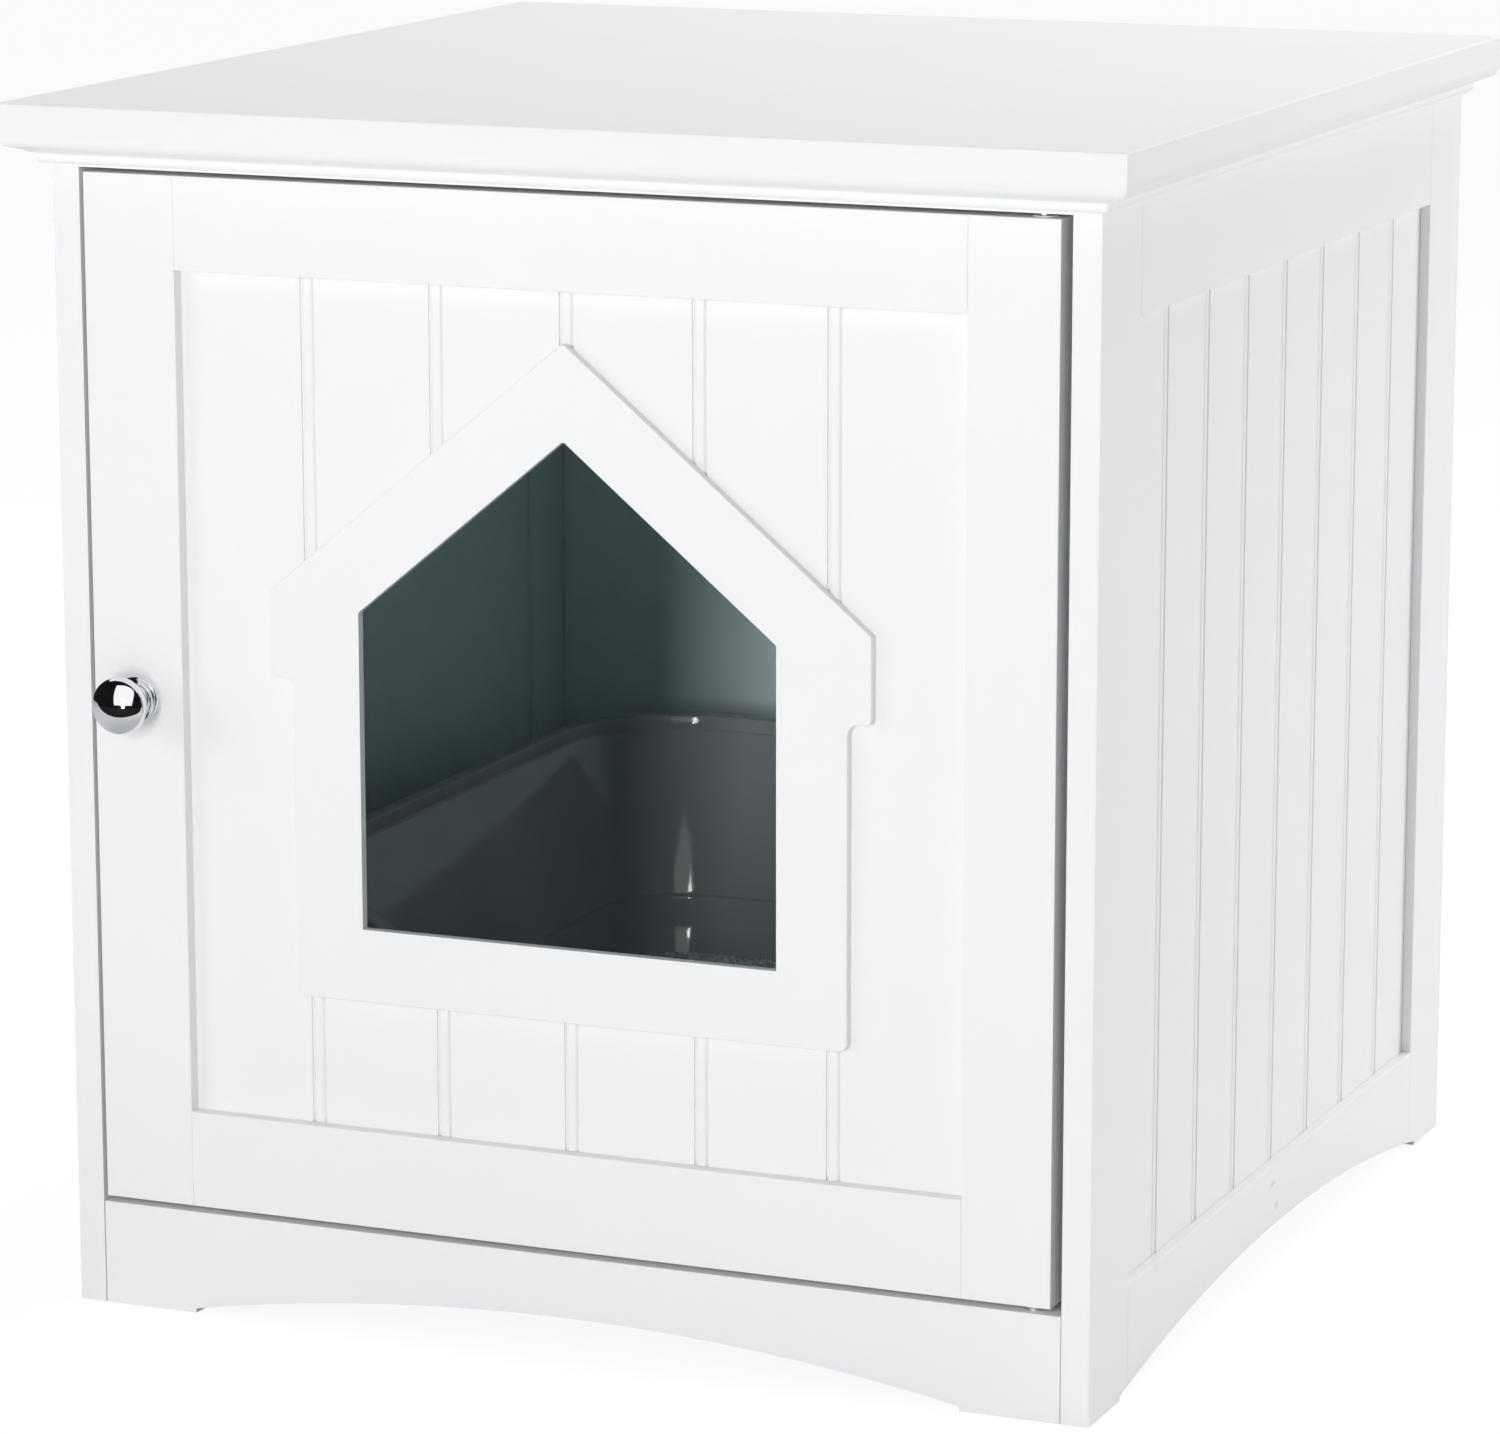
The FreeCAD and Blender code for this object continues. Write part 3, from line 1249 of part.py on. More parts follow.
def fastener_nodes():
    """What holds the box together, by node name."""
    return {
        "cam_locks": group([cam_lock(joint, thickness) for joint, thickness in cam_joints()]),
        "cam_bolts": group([cam_bolt(joint) for joint, thickness in cam_joints()]),
        "wooden_dowels": group([dowel(place, 0.0) for place in dowel_places()]),
        "cleat_screws": group([wood_screw(*place) for place in cleat_screw_places()]),
        "floor_screws": group([wood_screw(*place) for place in floor_screw_places()]),
    }


def catch_nodes():
    """The catch under the top board, by node name."""
    return {
        "catch_case": catch_case(),
        "catch_magnet": catch_magnet(),
        "catch_pole_plates": group(catch_poles()),
        "catch_screws": group([wood_screw(*place) for place in catch_screw_places()]),
    }


def pivot_nodes():
    """The door's pins and bushes, by node name."""
    return {
        "lower_pivot_pin": pivot_pin(LOWER_PIVOT, Z_AXIS, DOOR_BOTTOM_GAP),
        "upper_pivot_pin": pivot_pin(UPPER_PIVOT, -Z_AXIS, DOOR_TOP_GAP),
        "lower_pivot_bush": pivot_bush(DOOR_LOW_PIVOT, Z_AXIS),
        "upper_pivot_bush": pivot_bush(DOOR_HIGH_PIVOT, -Z_AXIS),
    }


def door_nodes():
    """The door and what it carries, by node name."""
    return {
        "door_latch_stile": door_latch_stile(),
        "door_hinge_stile": door_hinge_stile(),
        "door_top_rail": door_top_rail(),
        "door_bottom_rail": door_bottom_rail(),
        "door_beadboard": door_panel(),
        "house_plate": house_plate(),
        "knob": knob(),
        "knob_rosette": rosette(),
        "knob_screw": knob_screw(),
        "strike_plate": strike_plate(),
        "strike_screw": wood_screw(*strike_screw_place()),
    }


def pan_nodes():
    """The loose litter pan, by node name."""
    return {"litter_pan": litter_pan(), "litter_bed": litter_bed()}


def main():
    """Writes one file for each node."""
    os.makedirs("parts", exist_ok=True)
    for make in (cabinet_nodes, fastener_nodes, catch_nodes, pivot_nodes, door_nodes, pan_nodes):
        for name, shape in make().items():
            shape.exportStep("parts/" + name + ".step")


main()
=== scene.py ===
"""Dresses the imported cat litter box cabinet: lacquer, turned knob, moulded pan, litter, studio."""

import logging
import math
from dataclasses import dataclass
from enum import Enum

import bmesh
import bpy
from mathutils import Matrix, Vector, noise


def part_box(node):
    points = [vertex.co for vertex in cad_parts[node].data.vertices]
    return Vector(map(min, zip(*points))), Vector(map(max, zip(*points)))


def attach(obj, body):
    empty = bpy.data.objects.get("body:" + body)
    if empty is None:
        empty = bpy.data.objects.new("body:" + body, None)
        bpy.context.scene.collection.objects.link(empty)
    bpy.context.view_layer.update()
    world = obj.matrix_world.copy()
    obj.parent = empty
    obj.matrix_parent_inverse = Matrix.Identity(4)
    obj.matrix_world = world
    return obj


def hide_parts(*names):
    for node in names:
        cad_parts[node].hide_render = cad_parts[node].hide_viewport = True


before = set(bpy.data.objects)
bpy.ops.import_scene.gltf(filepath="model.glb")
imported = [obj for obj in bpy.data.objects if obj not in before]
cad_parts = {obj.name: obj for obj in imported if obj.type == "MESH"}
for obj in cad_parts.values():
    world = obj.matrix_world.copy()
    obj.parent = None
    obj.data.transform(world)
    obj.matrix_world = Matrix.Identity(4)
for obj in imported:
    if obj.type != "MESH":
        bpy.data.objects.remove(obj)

LOG = logging.getLogger("cabinet")
MM = 0.001

Colour = tuple[float, float, float]
Point = tuple[float, float, float]


class Blend(Enum):
    """How one colour goes over another."""

    MIX = "MIX"
    MULTIPLY = "MULTIPLY"


class Graph:
    """A material's node tree, with short calls for the nodes that the finishes share."""

    def __init__(self, name: str) -> None:
        """Makes an empty material with a shader and an output.

        Args:
            name: The material's name.
        """
        self.material = bpy.data.materials.new(name)
        self.material.use_nodes = True
        self.tree = self.material.node_tree
        self.tree.nodes.clear()
        self.shader = self.tree.nodes.new("ShaderNodeBsdfPrincipled")
        self.output = self.tree.nodes.new("ShaderNodeOutputMaterial")
        self.link(self.shader.outputs["BSDF"], self.output.inputs["Surface"])
        self.coordinates = self.tree.nodes.new("ShaderNodeTexCoord").outputs["Object"]

    def link(self, source: bpy.types.NodeSocket, target: bpy.types.NodeSocket) -> None:
        """Joins two sockets."""
        self.tree.links.new(source, target)

    def node(self, kind: str, **settings: object) -> bpy.types.Node:
        """Adds a node.

        Args:
            kind: The node's type name after ShaderNode.
            **settings: Properties to set on it.

        Returns:
            The node.
        """
        made = self.tree.nodes.new("ShaderNode" + kind)
        for key, value in settings.items():
            setattr(made, key, value)
        return made

    def put(self, socket: bpy.types.NodeSocket, value: object) -> None:
        """Sets a socket to a constant, or links it to another socket.

        Args:
            socket: The input to set.
            value: A constant or an output.
        """
        if isinstance(value, bpy.types.NodeSocket):
            self.link(value, socket)
        else:
            socket.default_value = value

    def math(self, operation: str, *values: object) -> bpy.types.NodeSocket:
        """Adds a Math node.

        Args:
            operation: The Math node's operation.
            *values: Constants or sockets for its inputs.

        Returns:
            The node's result.
        """
        made = self.node("Math", operation=operation)
        for i, value in enumerate(values):
            self.put(made.inputs[i], value)
        return made.outputs[0]

    def stretched(self, scale: Point, place: Point = (0.0, 0.0, 0.0)) -> bpy.types.NodeSocket:
        """Stretches the object coordinates along each axis.

        Args:
            scale: How much, along each axis.
            place: The point, in metres, that comes to zero.

        Returns:
            The new coordinates.
        """
        mapping = self.node("Mapping")
        self.link(self.coordinates, mapping.inputs["Vector"])
        mapping.inputs["Scale"].default_value = scale
        mapping.inputs["Location"].default_value = [-p * s for p, s in zip(place, scale)]
        return mapping.outputs["Vector"]

    def noise(
        self,
        scale: float,
        detail: float = 2.0,
        roughness: float = 0.5,
        vector: bpy.types.NodeSocket | None = None,
    ) -> bpy.types.NodeSocket:
        """Adds a noise texture.

        Args:
            scale: Cells per metre.
            detail: Octaves.
            roughness: How strong the finer octaves are.
            vector: Coordinates, or None for plain object coordinates.

        Returns:
            The noise's value, about 0 to 1.
        """
        made = self.node("TexNoise")
        self.link(vector or self.coordinates, made.inputs["Vector"])
        made.inputs["Scale"].default_value = scale
        made.inputs["Detail"].default_value = detail
        made.inputs["Roughness"].default_value = roughness
        return made.outputs["Fac"]

    def cells(self, scale: float) -> bpy.types.NodeSocket:
        """Gives each cell of a Voronoi texture a random value.

        Args:
            scale: Cells per metre.

        Returns:
            The value, 0 to 1.
        """
        made = self.node("TexVoronoi")
        self.link(self.coordinates, made.inputs["Vector"])
        made.inputs["Scale"].default_value = scale
        grey = self.node("SeparateColor")
        self.link(made.outputs["Color"], grey.inputs[0])
        return grey.outputs[0]

    def spread(
        self,
        value: bpy.types.NodeSocket,
        low: float,
        high: float,
        start: float = 0.0,
        end: float = 1.0,
    ) -> bpy.types.NodeSocket:
        """Maps a value onto a range, and clamps it there.

        Args:
            value: The value.
            low: The result at start.
            high: The result at end.
            start: Where the value's own range starts.
            end: Where it ends.

        Returns:
            The mapped value.
        """
        made = self.node("MapRange", clamp=True)
        self.link(value, made.inputs["Value"])
        made.inputs["From Min"].default_value = start
        made.inputs["From Max"].default_value = end
        made.inputs["To Min"].default_value = low
        made.inputs["To Max"].default_value = high
        return made.outputs["Result"]

    def ramp(
        self,
        value: bpy.types.NodeSocket,
        stops: list[tuple[float, Colour]],
    ) -> bpy.types.NodeSocket:
        """Adds a colour ramp that runs evenly between its stops.

        Args:
            value: What the ramp reads.
            stops: Position and colour of each stop.

        Returns:
            The ramp's colour.
        """
        made = self.node("ValToRGB")
        elements = made.color_ramp.elements
        while len(elements) < len(stops):
            elements.new(1.0)
        for element, (place, colour) in zip(elements, stops):
            element.position = place
            element.color = (*colour, 1.0)
        self.link(value, made.inputs["Fac"])
        return made.outputs["Color"]

    def mix(
        self, factor: object, first: object, second: object, blend: Blend = Blend.MIX
    ) -> bpy.types.NodeSocket:
        """Mixes two colours.

        Args:
            factor: How much of the second colour.
            first: The first colour or socket.
            second: The second colour or socket.
            blend: The blend mode.

        Returns:
            The mixed colour.
        """
        made = self.node("Mix", data_type="RGBA", blend_type=blend.value)
        self.put(made.inputs[0], factor)
        for socket, value in ((made.inputs[6], first), (made.inputs[7], second)):
            self.put(socket, (*value, 1.0) if isinstance(value, tuple) else value)
        return made.outputs[2]

    def bump(self, height: bpy.types.NodeSocket, distance: float, strength: float = 1.0) -> None:
        """Gives the shader a relief.

        Args:
            height: The relief's height, 0 to 1.
            distance: The height of 1 in metres.
            strength: How much of it shows.
        """
        made = self.node("Bump")
        made.inputs["Strength"].default_value = strength
        made.inputs["Distance"].default_value = distance
        self.link(height, made.inputs["Height"])
        if self.shader.inputs["Normal"].is_linked:
            self.link(self.shader.inputs["Normal"].links[0].from_socket, made.inputs["Normal"])
        self.link(made.outputs["Normal"], self.shader.inputs["Normal"])

    def between(self, axis: str, low: float, high: float) -> bpy.types.NodeSocket:
        """Marks a slice of space.

        Args:
            axis: X, Y or Z.
            low: Where the slice starts, in metres.
            high: Where it ends.

        Returns:
            1 in the slice and 0 outside it.
        """
        parts = self.node("SeparateXYZ")
        self.link(self.coordinates, parts.inputs[0])
        above = self.math("GREATER_THAN", parts.outputs[axis], low)
        below = self.math("LESS_THAN", parts.outputs[axis], high)
        return self.math("MULTIPLY", above, below)

    def constants(self, **values: object) -> None:
        """Sets the shader's own sockets, with underscores for spaces in their names."""
        for key, value in values.items():
            self.shader.inputs[key.replace("_", " ")].default_value = value


@dataclass(frozen=True)
class Scuff:
    """A faint grey mark on the right side's outer face, an oval. Lengths are in millimetres."""

    middle: tuple[float, float]
    half: tuple[float, float]
    strength: float
    face_x: float = 227.0
    half_depth: float = 3.0
    core: float = 0.3

    def cover(self, g: Graph) -> bpy.types.NodeSocket:
        """How strongly the mark covers each point.

        Args:
            g: The material's graph.

        Returns:
            A value from 0 outside the mark to its strength in the middle.
        """
        scale = tuple(1.0 / (h * MM) for h in (self.half_depth, *self.half))
        place = tuple(p * MM for p in (self.face_x, *self.middle))
        length = g.node("VectorMath", operation="LENGTH")
        g.link(g.stretched(scale, place), length.inputs[0])
        return g.spread(length.outputs["Value"], self.strength, 0.0, self.core, 1.0)


@dataclass(frozen=True)
class Lacquer:
    """Satin white lacquer sprayed on fibreboard, with a pale green-blue tint painted inside the box as the
    cool cast of its shade.
    """

    name: str = "white_lacquer"
    light: Colour = (0.905, 0.910, 0.915)
    shade: Colour = (0.890, 0.897, 0.905)
    # Painted shade: this pale green-blue tint is multiplied onto the faces inside the box to stand for the
    # cool cast of the shade there.
    inside: Colour = (0.84, 0.985, 0.995)
    shade_tint_x: tuple[float, float] = (-218.5, 218.5)
    shade_tint_y: tuple[float, float] = (-217.0, 240.7)
    shade_tint_z: tuple[float, float] = (44.3, 483.2)
    cloud_scale: float = 5.0
    cloud_stops: tuple[float, float] = (0.35, 0.65)
    peel_scale: float = 420.0
    peel_height: float = 0.00002
    peel_strength: float = 0.6
    rough_scale: float = 38.0
    rough_low: float = 0.40
    rough_high: float = 0.50
    specular: float = 0.38
    scuff_colour: Colour = (0.55, 0.56, 0.58)
    speckle_scale: float = 900.0
    speckle_stops: tuple[float, float] = (0.35, 0.6)
    speckle_least: float = 0.2
    scuffs: tuple[Scuff, ...] = ()

    def build(self) -> bpy.types.Material:
        """Builds the finish.

        Returns:
            The material.
        """
        g = Graph(self.name)
        cloud = g.noise(self.cloud_scale, 3.0)
        colour = g.ramp(cloud, list(zip(self.cloud_stops, (self.shade, self.light))))
        spans = (("X", self.shade_tint_x), ("Y", self.shade_tint_y), ("Z", self.shade_tint_z))
        masks = [g.between(axis, low * MM, high * MM) for axis, (low, high) in spans]
        shade_tint_mask = g.math("MULTIPLY", g.math("MULTIPLY", masks[0], masks[1]), masks[2])
        # Painted shade: the inside tint is multiplied onto every face within the box's inner span.
        colour = g.mix(shade_tint_mask, colour, g.mix(1.0, colour, self.inside, Blend.MULTIPLY))
        for scuff in self.scuffs:
            cover, speckle = scuff.cover(g), g.noise(self.speckle_scale, 3.0)
            patchy = g.spread(speckle, self.speckle_least, 1.0, *self.speckle_stops)
            colour = g.mix(g.math("MULTIPLY", cover, patchy), colour, self.scuff_colour)
        g.link(colour, g.shader.inputs["Base Color"])
        rough = g.spread(g.noise(self.rough_scale, 4.0), self.rough_low, self.rough_high)
        g.link(rough, g.shader.inputs["Roughness"])
        g.bump(g.noise(self.peel_scale, 2.0), self.peel_height, self.peel_strength)
        g.constants(Specular_IOR_Level=self.specular)
        return g.material


@dataclass(frozen=True)
class Metal:
    """A bare or plated metal."""

    name: str
    colour: Colour
    rough_low: float
    rough_high: float
    mottle: float = 0.0
    scratch_height: float = 0.0
    mottle_scale: float = 260.0
    mottle_stops: tuple[float, float] = (0.3, 0.7)
    rough_scale: float = 900.0
    scratch_scale: float = 700.0
    scratch_stretch: Point = (1.0, 12.0, 1.0)

    def build(self) -> bpy.types.Material:
        """Builds the finish.

        Returns:
            The material.
        """
        g = Graph(self.name)
        dark = tuple(c * (1 - self.mottle) for c in self.colour)
        mottled = g.noise(self.mottle_scale, 3.0)
        colour = g.ramp(mottled, list(zip(self.mottle_stops, (dark, self.colour))))
        g.link(colour, g.shader.inputs["Base Color"])
        rough = g.spread(g.noise(self.rough_scale, 3.0), self.rough_low, self.rough_high)
        g.link(rough, g.shader.inputs["Roughness"])
        g.constants(Metallic=1.0)
        if self.scratch_height:
            lengthwise = g.stretched(self.scratch_stretch)
            g.bump(g.noise(self.scratch_scale, 4.0, 0.6, lengthwise), self.scratch_height)
        return g.material


@dataclass(frozen=True)
class Plastic:
    """A moulded plastic with a fine grain."""

    name: str
    colour: Colour
    shade: Colour
    rough_low: float
    rough_high: float
    grain_scale: float = 900.0
    grain_height: float = 0.00003
    grain_strength: float = 0.7
    cloud_scale: float = 14.0
    cloud_stops: tuple[float, float] = (0.3, 0.7)
    rough_scale: float = 60.0

    def build(self) -> bpy.types.Material:
        """Builds the finish.

        Returns:
            The material.
        """
        g = Graph(self.name)
        cloud = g.noise(self.cloud_scale, 4.0)
        colour = g.ramp(cloud, list(zip(self.cloud_stops, (self.shade, self.colour))))
        g.link(colour, g.shader.inputs["Base Color"])
        rough = g.spread(g.noise(self.rough_scale, 4.0), self.rough_low, self.rough_high)
        g.link(rough, g.shader.inputs["Roughness"])
        g.bump(g.noise(self.grain_scale, 2.0), self.grain_height, self.grain_strength)
        return g.material


@dataclass(frozen=True)
class Granules:
    """Dry litter, each granule a little lighter or darker than the next."""

    name: str = "litter_granules"
    dark: Colour = (0.42, 0.50, 0.52)
    middle: Colour = (0.58, 0.66, 0.68)
    light: Colour = (0.74, 0.79, 0.80)
    cell_scale: float = 330.0
    middle_stop: float = 0.4
    rough_scale: float = 500.0
    rough_low: float = 0.75
    rough_high: float = 0.95
    dust_scale: float = 1600.0
    dust_height: float = 0.0002

    def build(self) -> bpy.types.Material:
        """Builds the finish.

        Returns:
            The material.
        """
        g = Graph(self.name)
        stops = [(0.0, self.dark), (self.middle_stop, self.middle), (1.0, self.light)]
        g.link(g.ramp(g.cells(self.cell_scale), stops), g.shader.inputs["Base Color"])
        rough = g.spread(g.noise(self.rough_scale, 3.0), self.rough_low, self.rough_high)
        g.link(rough, g.shader.inputs["Roughness"])
        g.bump(g.noise(self.dust_scale, 3.0), self.dust_height)
        return g.material


@dataclass(frozen=True)
class Softwood:
    """Bare softwood with grain along Y."""

    light: Colour = (0.62, 0.44, 0.26)
    dark: Colour = (0.44, 0.27, 0.13)
    grain_scale: float = 70.0
    grain_stretch: Point = (5.0, 0.35, 5.0)
    grain_stops: tuple[float, float] = (0.35, 0.62)
    grain_height: float = 0.0001
    grain_strength: float = 0.6
    rough_dark: float = 0.7
    rough_light: float = 0.55

    def build(self) -> bpy.types.Material:
        """Builds the finish.

        Returns:
            The material.
        """
        g = Graph("bare_softwood")
        grain = g.noise(self.grain_scale, 6.0, 0.6, g.stretched(self.grain_stretch))
        colour = g.ramp(grain, list(zip(self.grain_stops, (self.dark, self.light))))
        g.link(colour, g.shader.inputs["Base Color"])
        g.link(g.spread(grain, self.rough_dark, self.rough_light), g.shader.inputs["Roughness"])
        g.bump(grain, self.grain_height, self.grain_strength)
        return g.material


RAIL_SCUFFS = (
    Scuff((1.7, 38.1), (4.5, 1.6), 0.95),
    Scuff((6.5, 27.4), (3.0, 2.4), 0.9),
    Scuff((65.2, 50.0), (5.0, 1.4), 0.8),
    Scuff((82.5, 53.8), (2.2, 2.0), 0.85),
    Scuff((33.2, 54.1), (2.2, 2.0), 0.85),
    Scuff((-13.0, 52.7), (2.2, 2.0), 0.8),
    Scuff((-114.3, 51.4), (2.6, 2.0), 0.35),
    Scuff((-162.3, 51.0), (2.6, 2.0), 0.30),
)


class Finishes:
    """Every finish of the object, built once."""

    def __init__(self) -> None:
        """Builds the materials."""
        self.lacquer = Lacquer().build()
        self.scuffed = Lacquer(name="white_lacquer_scuffed", scuffs=RAIL_SCUFFS).build()
        self.wood = Softwood().build()
        self.chrome = Metal("polished_chrome", (0.83, 0.84, 0.86), 0.03, 0.06).build()
        self.zinc = Metal("zinc_plate", (0.66, 0.67, 0.68), 0.28, 0.42, 0.15, 0.00001).build()
        self.magnet = Plastic("ferrite", (0.035, 0.035, 0.04), (0.02, 0.02, 0.022), 0.5, 0.65).build()
        self.nylon = Plastic("natural_nylon", (0.82, 0.81, 0.76), (0.78, 0.77, 0.72), 0.35, 0.5).build()
        self.catch = Plastic("white_plastic", (0.8, 0.8, 0.79), (0.76, 0.76, 0.75), 0.35, 0.5).build()
        self.foot = Plastic("foot_plastic", (0.90, 0.90, 0.90), (0.87, 0.87, 0.87), 0.45, 0.6).build()
        self.pan = Plastic("pan_plastic", (0.36, 0.39, 0.41), (0.32, 0.35, 0.37), 0.035, 0.07, 1400.0).build()
        self.litter = Granules().build()


def dress(names: list[str], material: bpy.types.Material) -> None:
    """Gives CAD nodes a finish.

    Args:
        names: The nodes.
        material: The finish.
    """
    for name in names:
        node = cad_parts[name]
        node.data.materials.clear()
        node.data.materials.append(material)
        LOG.info("%s wears %s", name, material.name)


def piece(name: str, mesh: bpy.types.Mesh, material: bpy.types.Material) -> bpy.types.Object:
    """Puts a mesh in the scene as an object at the origin.

    Args:
        name: The object's name.
        mesh: Its mesh, in place, in metres.
        material: Its finish.

    Returns:
        The object.
    """
    mesh.name = name
    mesh.materials.clear()
    mesh.materials.append(material)
    made = bpy.data.objects.new(name, mesh)
    bpy.context.scene.collection.objects.link(made)
    return made


def stand_in(made: bpy.types.Object, body: str, slot: str, *nodes: str) -> None:
    """Lets a piece stand for CAD nodes and move with their body.

    Args:
        made: The piece.
        body: The body that it moves with.
        slot: The record's material slot; not used.
        *nodes: The CAD nodes that it stands for.
    """
    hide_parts(*nodes)
    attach(made, body)
    LOG.info("%s: %d faces, rides on %s, stands for %s", made.name, len(made.data.polygons), body, nodes)


def closed_mesh(bm: bmesh.types.BMesh, sharp_degrees: float) -> bpy.types.Mesh:
    """Turns a closed bmesh into a mesh with outward faces, smooth but for its sharp edges.

    Args:
        bm: The bmesh, which is freed.
        sharp_degrees: Edges that bend more than this stay sharp.

    Returns:
        The mesh.
    """
    bmesh.ops.recalc_face_normals(bm, faces=bm.faces[:])
    mesh = bpy.data.meshes.new("closed")
    bm.to_mesh(mesh)
    bm.free()
    mesh.shade_smooth()
    mesh.set_sharp_from_angle(angle=math.radians(sharp_degrees))
    return mesh


def stacked_rings(bm: bmesh.types.BMesh, rings: list[list[Point]]) -> None:
    """Joins rings of points with as many points each into a skin with both ends closed.

    Args:
        bm: The bmesh that gets the faces.
        rings: The rings, in metres, in order along the skin.
    """
    made = [[bm.verts.new(point) for point in ring] for ring in rings]
    for low, high in zip(made, made[1:]):
        count = len(low)
        for i in range(count):
            j = (i + 1) % count
            bm.faces.new((low[i], low[j], high[j], high[i]))
    bm.faces.new(made[0])
    bm.faces.new(list(reversed(made[-1])))


def arc(
    middle: tuple[float, float], radii: tuple[float, float], start: float, end: float, steps: int
) -> list[tuple[float, float]]:
    """Points on an arc of a circle or ellipse.

    Args:
        middle: Its centre.
        radii: Its radius along each axis.
        start: The first point's angle in degrees.
        end: The last point's angle.
        steps: The number of chords.

    Returns:
        The points.
    """
    angles = [math.radians(start + (end - start) * i / steps) for i in range(steps + 1)]
    return [(middle[0] + radii[0] * math.cos(a), middle[1] + radii[1] * math.sin(a)) for a in angles]


class Scatter:
    """A Geometry Nodes tree that repeats something over a carrier mesh."""

    def __init__(self, name: str) -> None:
        """Makes the tree with a geometry input and output.

        Args:
            name: The tree's name.
        """
        self.tree = bpy.data.node_groups.new(name, "GeometryNodeTree")
        for way in ("INPUT", "OUTPUT"):
            self.tree.interface.new_socket(
                name="Geometry", in_out=way, socket_type="NodeSocketGeometry"
            )
        self.given = self.tree.nodes.new("NodeGroupInput")
        self.result = self.tree.nodes.new("NodeGroupOutput")
        self.values: dict[str, object] = {}

    def ask(self, name: str, kind: str, value: object) -> bpy.types.NodeSocket:
        """Adds a named input and notes the value that it gets.

        Args:
            name: The input's name.
            kind: Its socket type after NodeSocket.
            value: Its value.

        Returns:
            The socket inside the tree.
        """
        item = self.tree.interface.new_socket(
            name=name, in_out="INPUT", socket_type="NodeSocket" + kind
        )
        self.values[item.identifier] = value
        return self.given.outputs[name]

    def node(self, kind: str, inputs: dict[object, object], **settings: object) -> bpy.types.Node:
        """Adds a node, sets its properties, and then fills its inputs by name or number.

        Args:
            kind: The node's full type name.
            inputs: A socket to link or a constant for each input.
            **settings: Properties to set on it.

        Returns:
            The node.
        """
        made = self.tree.nodes.new(kind)
        for key, value in settings.items():
            setattr(made, key, value)
        for key, value in inputs.items():
            if isinstance(value, bpy.types.NodeSocket):
                self.tree.links.new(value, made.inputs[key])
            else:
                made.inputs[key].default_value = value
        return made

    def end(self, geometry: bpy.types.NodeSocket) -> None:
        """Ends the tree in Realize Instances and Set Material.

        Args:
            geometry: What the tree has made.
        """
        real = self.node("GeometryNodeRealizeInstances", {"Geometry": geometry})
        finish = self.ask("Finish", "Material", None)
        last = self.node("GeometryNodeSetMaterial", {"Geometry": real.outputs[0], "Material": finish})
        self.tree.links.new(last.outputs[0], self.result.inputs[0])

    def run(self, carrier: bpy.types.Object, finish: bpy.types.Material) -> bpy.types.Mesh:
        """Runs the tree on a carrier and takes the modifier away again.

        Args:
            carrier: The object that the tree starts from, deleted afterwards.
            finish: The finish of the result.

        Returns:
            The plain mesh.
        """
        modifier = carrier.modifiers.new(self.tree.name, "NODES")
        modifier.node_group = self.tree
        for identifier, value in self.values.items():
            modifier[identifier] = finish if value is None else value
        bpy.context.view_layer.update()
        graph = bpy.context.evaluated_depsgraph_get()
        made = bpy.data.meshes.new_from_object(carrier.evaluated_get(graph), depsgraph=graph)
        carrier.modifiers.clear()
        bpy.data.objects.remove(carrier)
        return made


@dataclass
class Turned:
    """Something turned round an axis that runs from its foot towards the front, along -Y."""

    centre: tuple[float, float]
    foot_y: float
    profile: list[tuple[float, float]]
    segments: int = 72
    sharp_degrees: float = 40.0

    def mesh(self) -> bpy.types.Mesh:
        """Turns the profile of (radius, distance from the foot), both in millimetres.

        Returns:
            The mesh.
        """
        turns = [2 * math.pi * i / self.segments for i in range(self.segments)]
        cx, cz = self.centre
        rings = []
        for radius, rise in self.profile:
            y = self.foot_y - rise
            ring = [(cx + radius * math.cos(t), y, cz + radius * math.sin(t)) for t in turns]
            rings.append([tuple(v * MM for v in point) for point in ring])
        bm = bmesh.new()
        stacked_rings(bm, rings)
        return closed_mesh(bm, self.sharp_degrees)


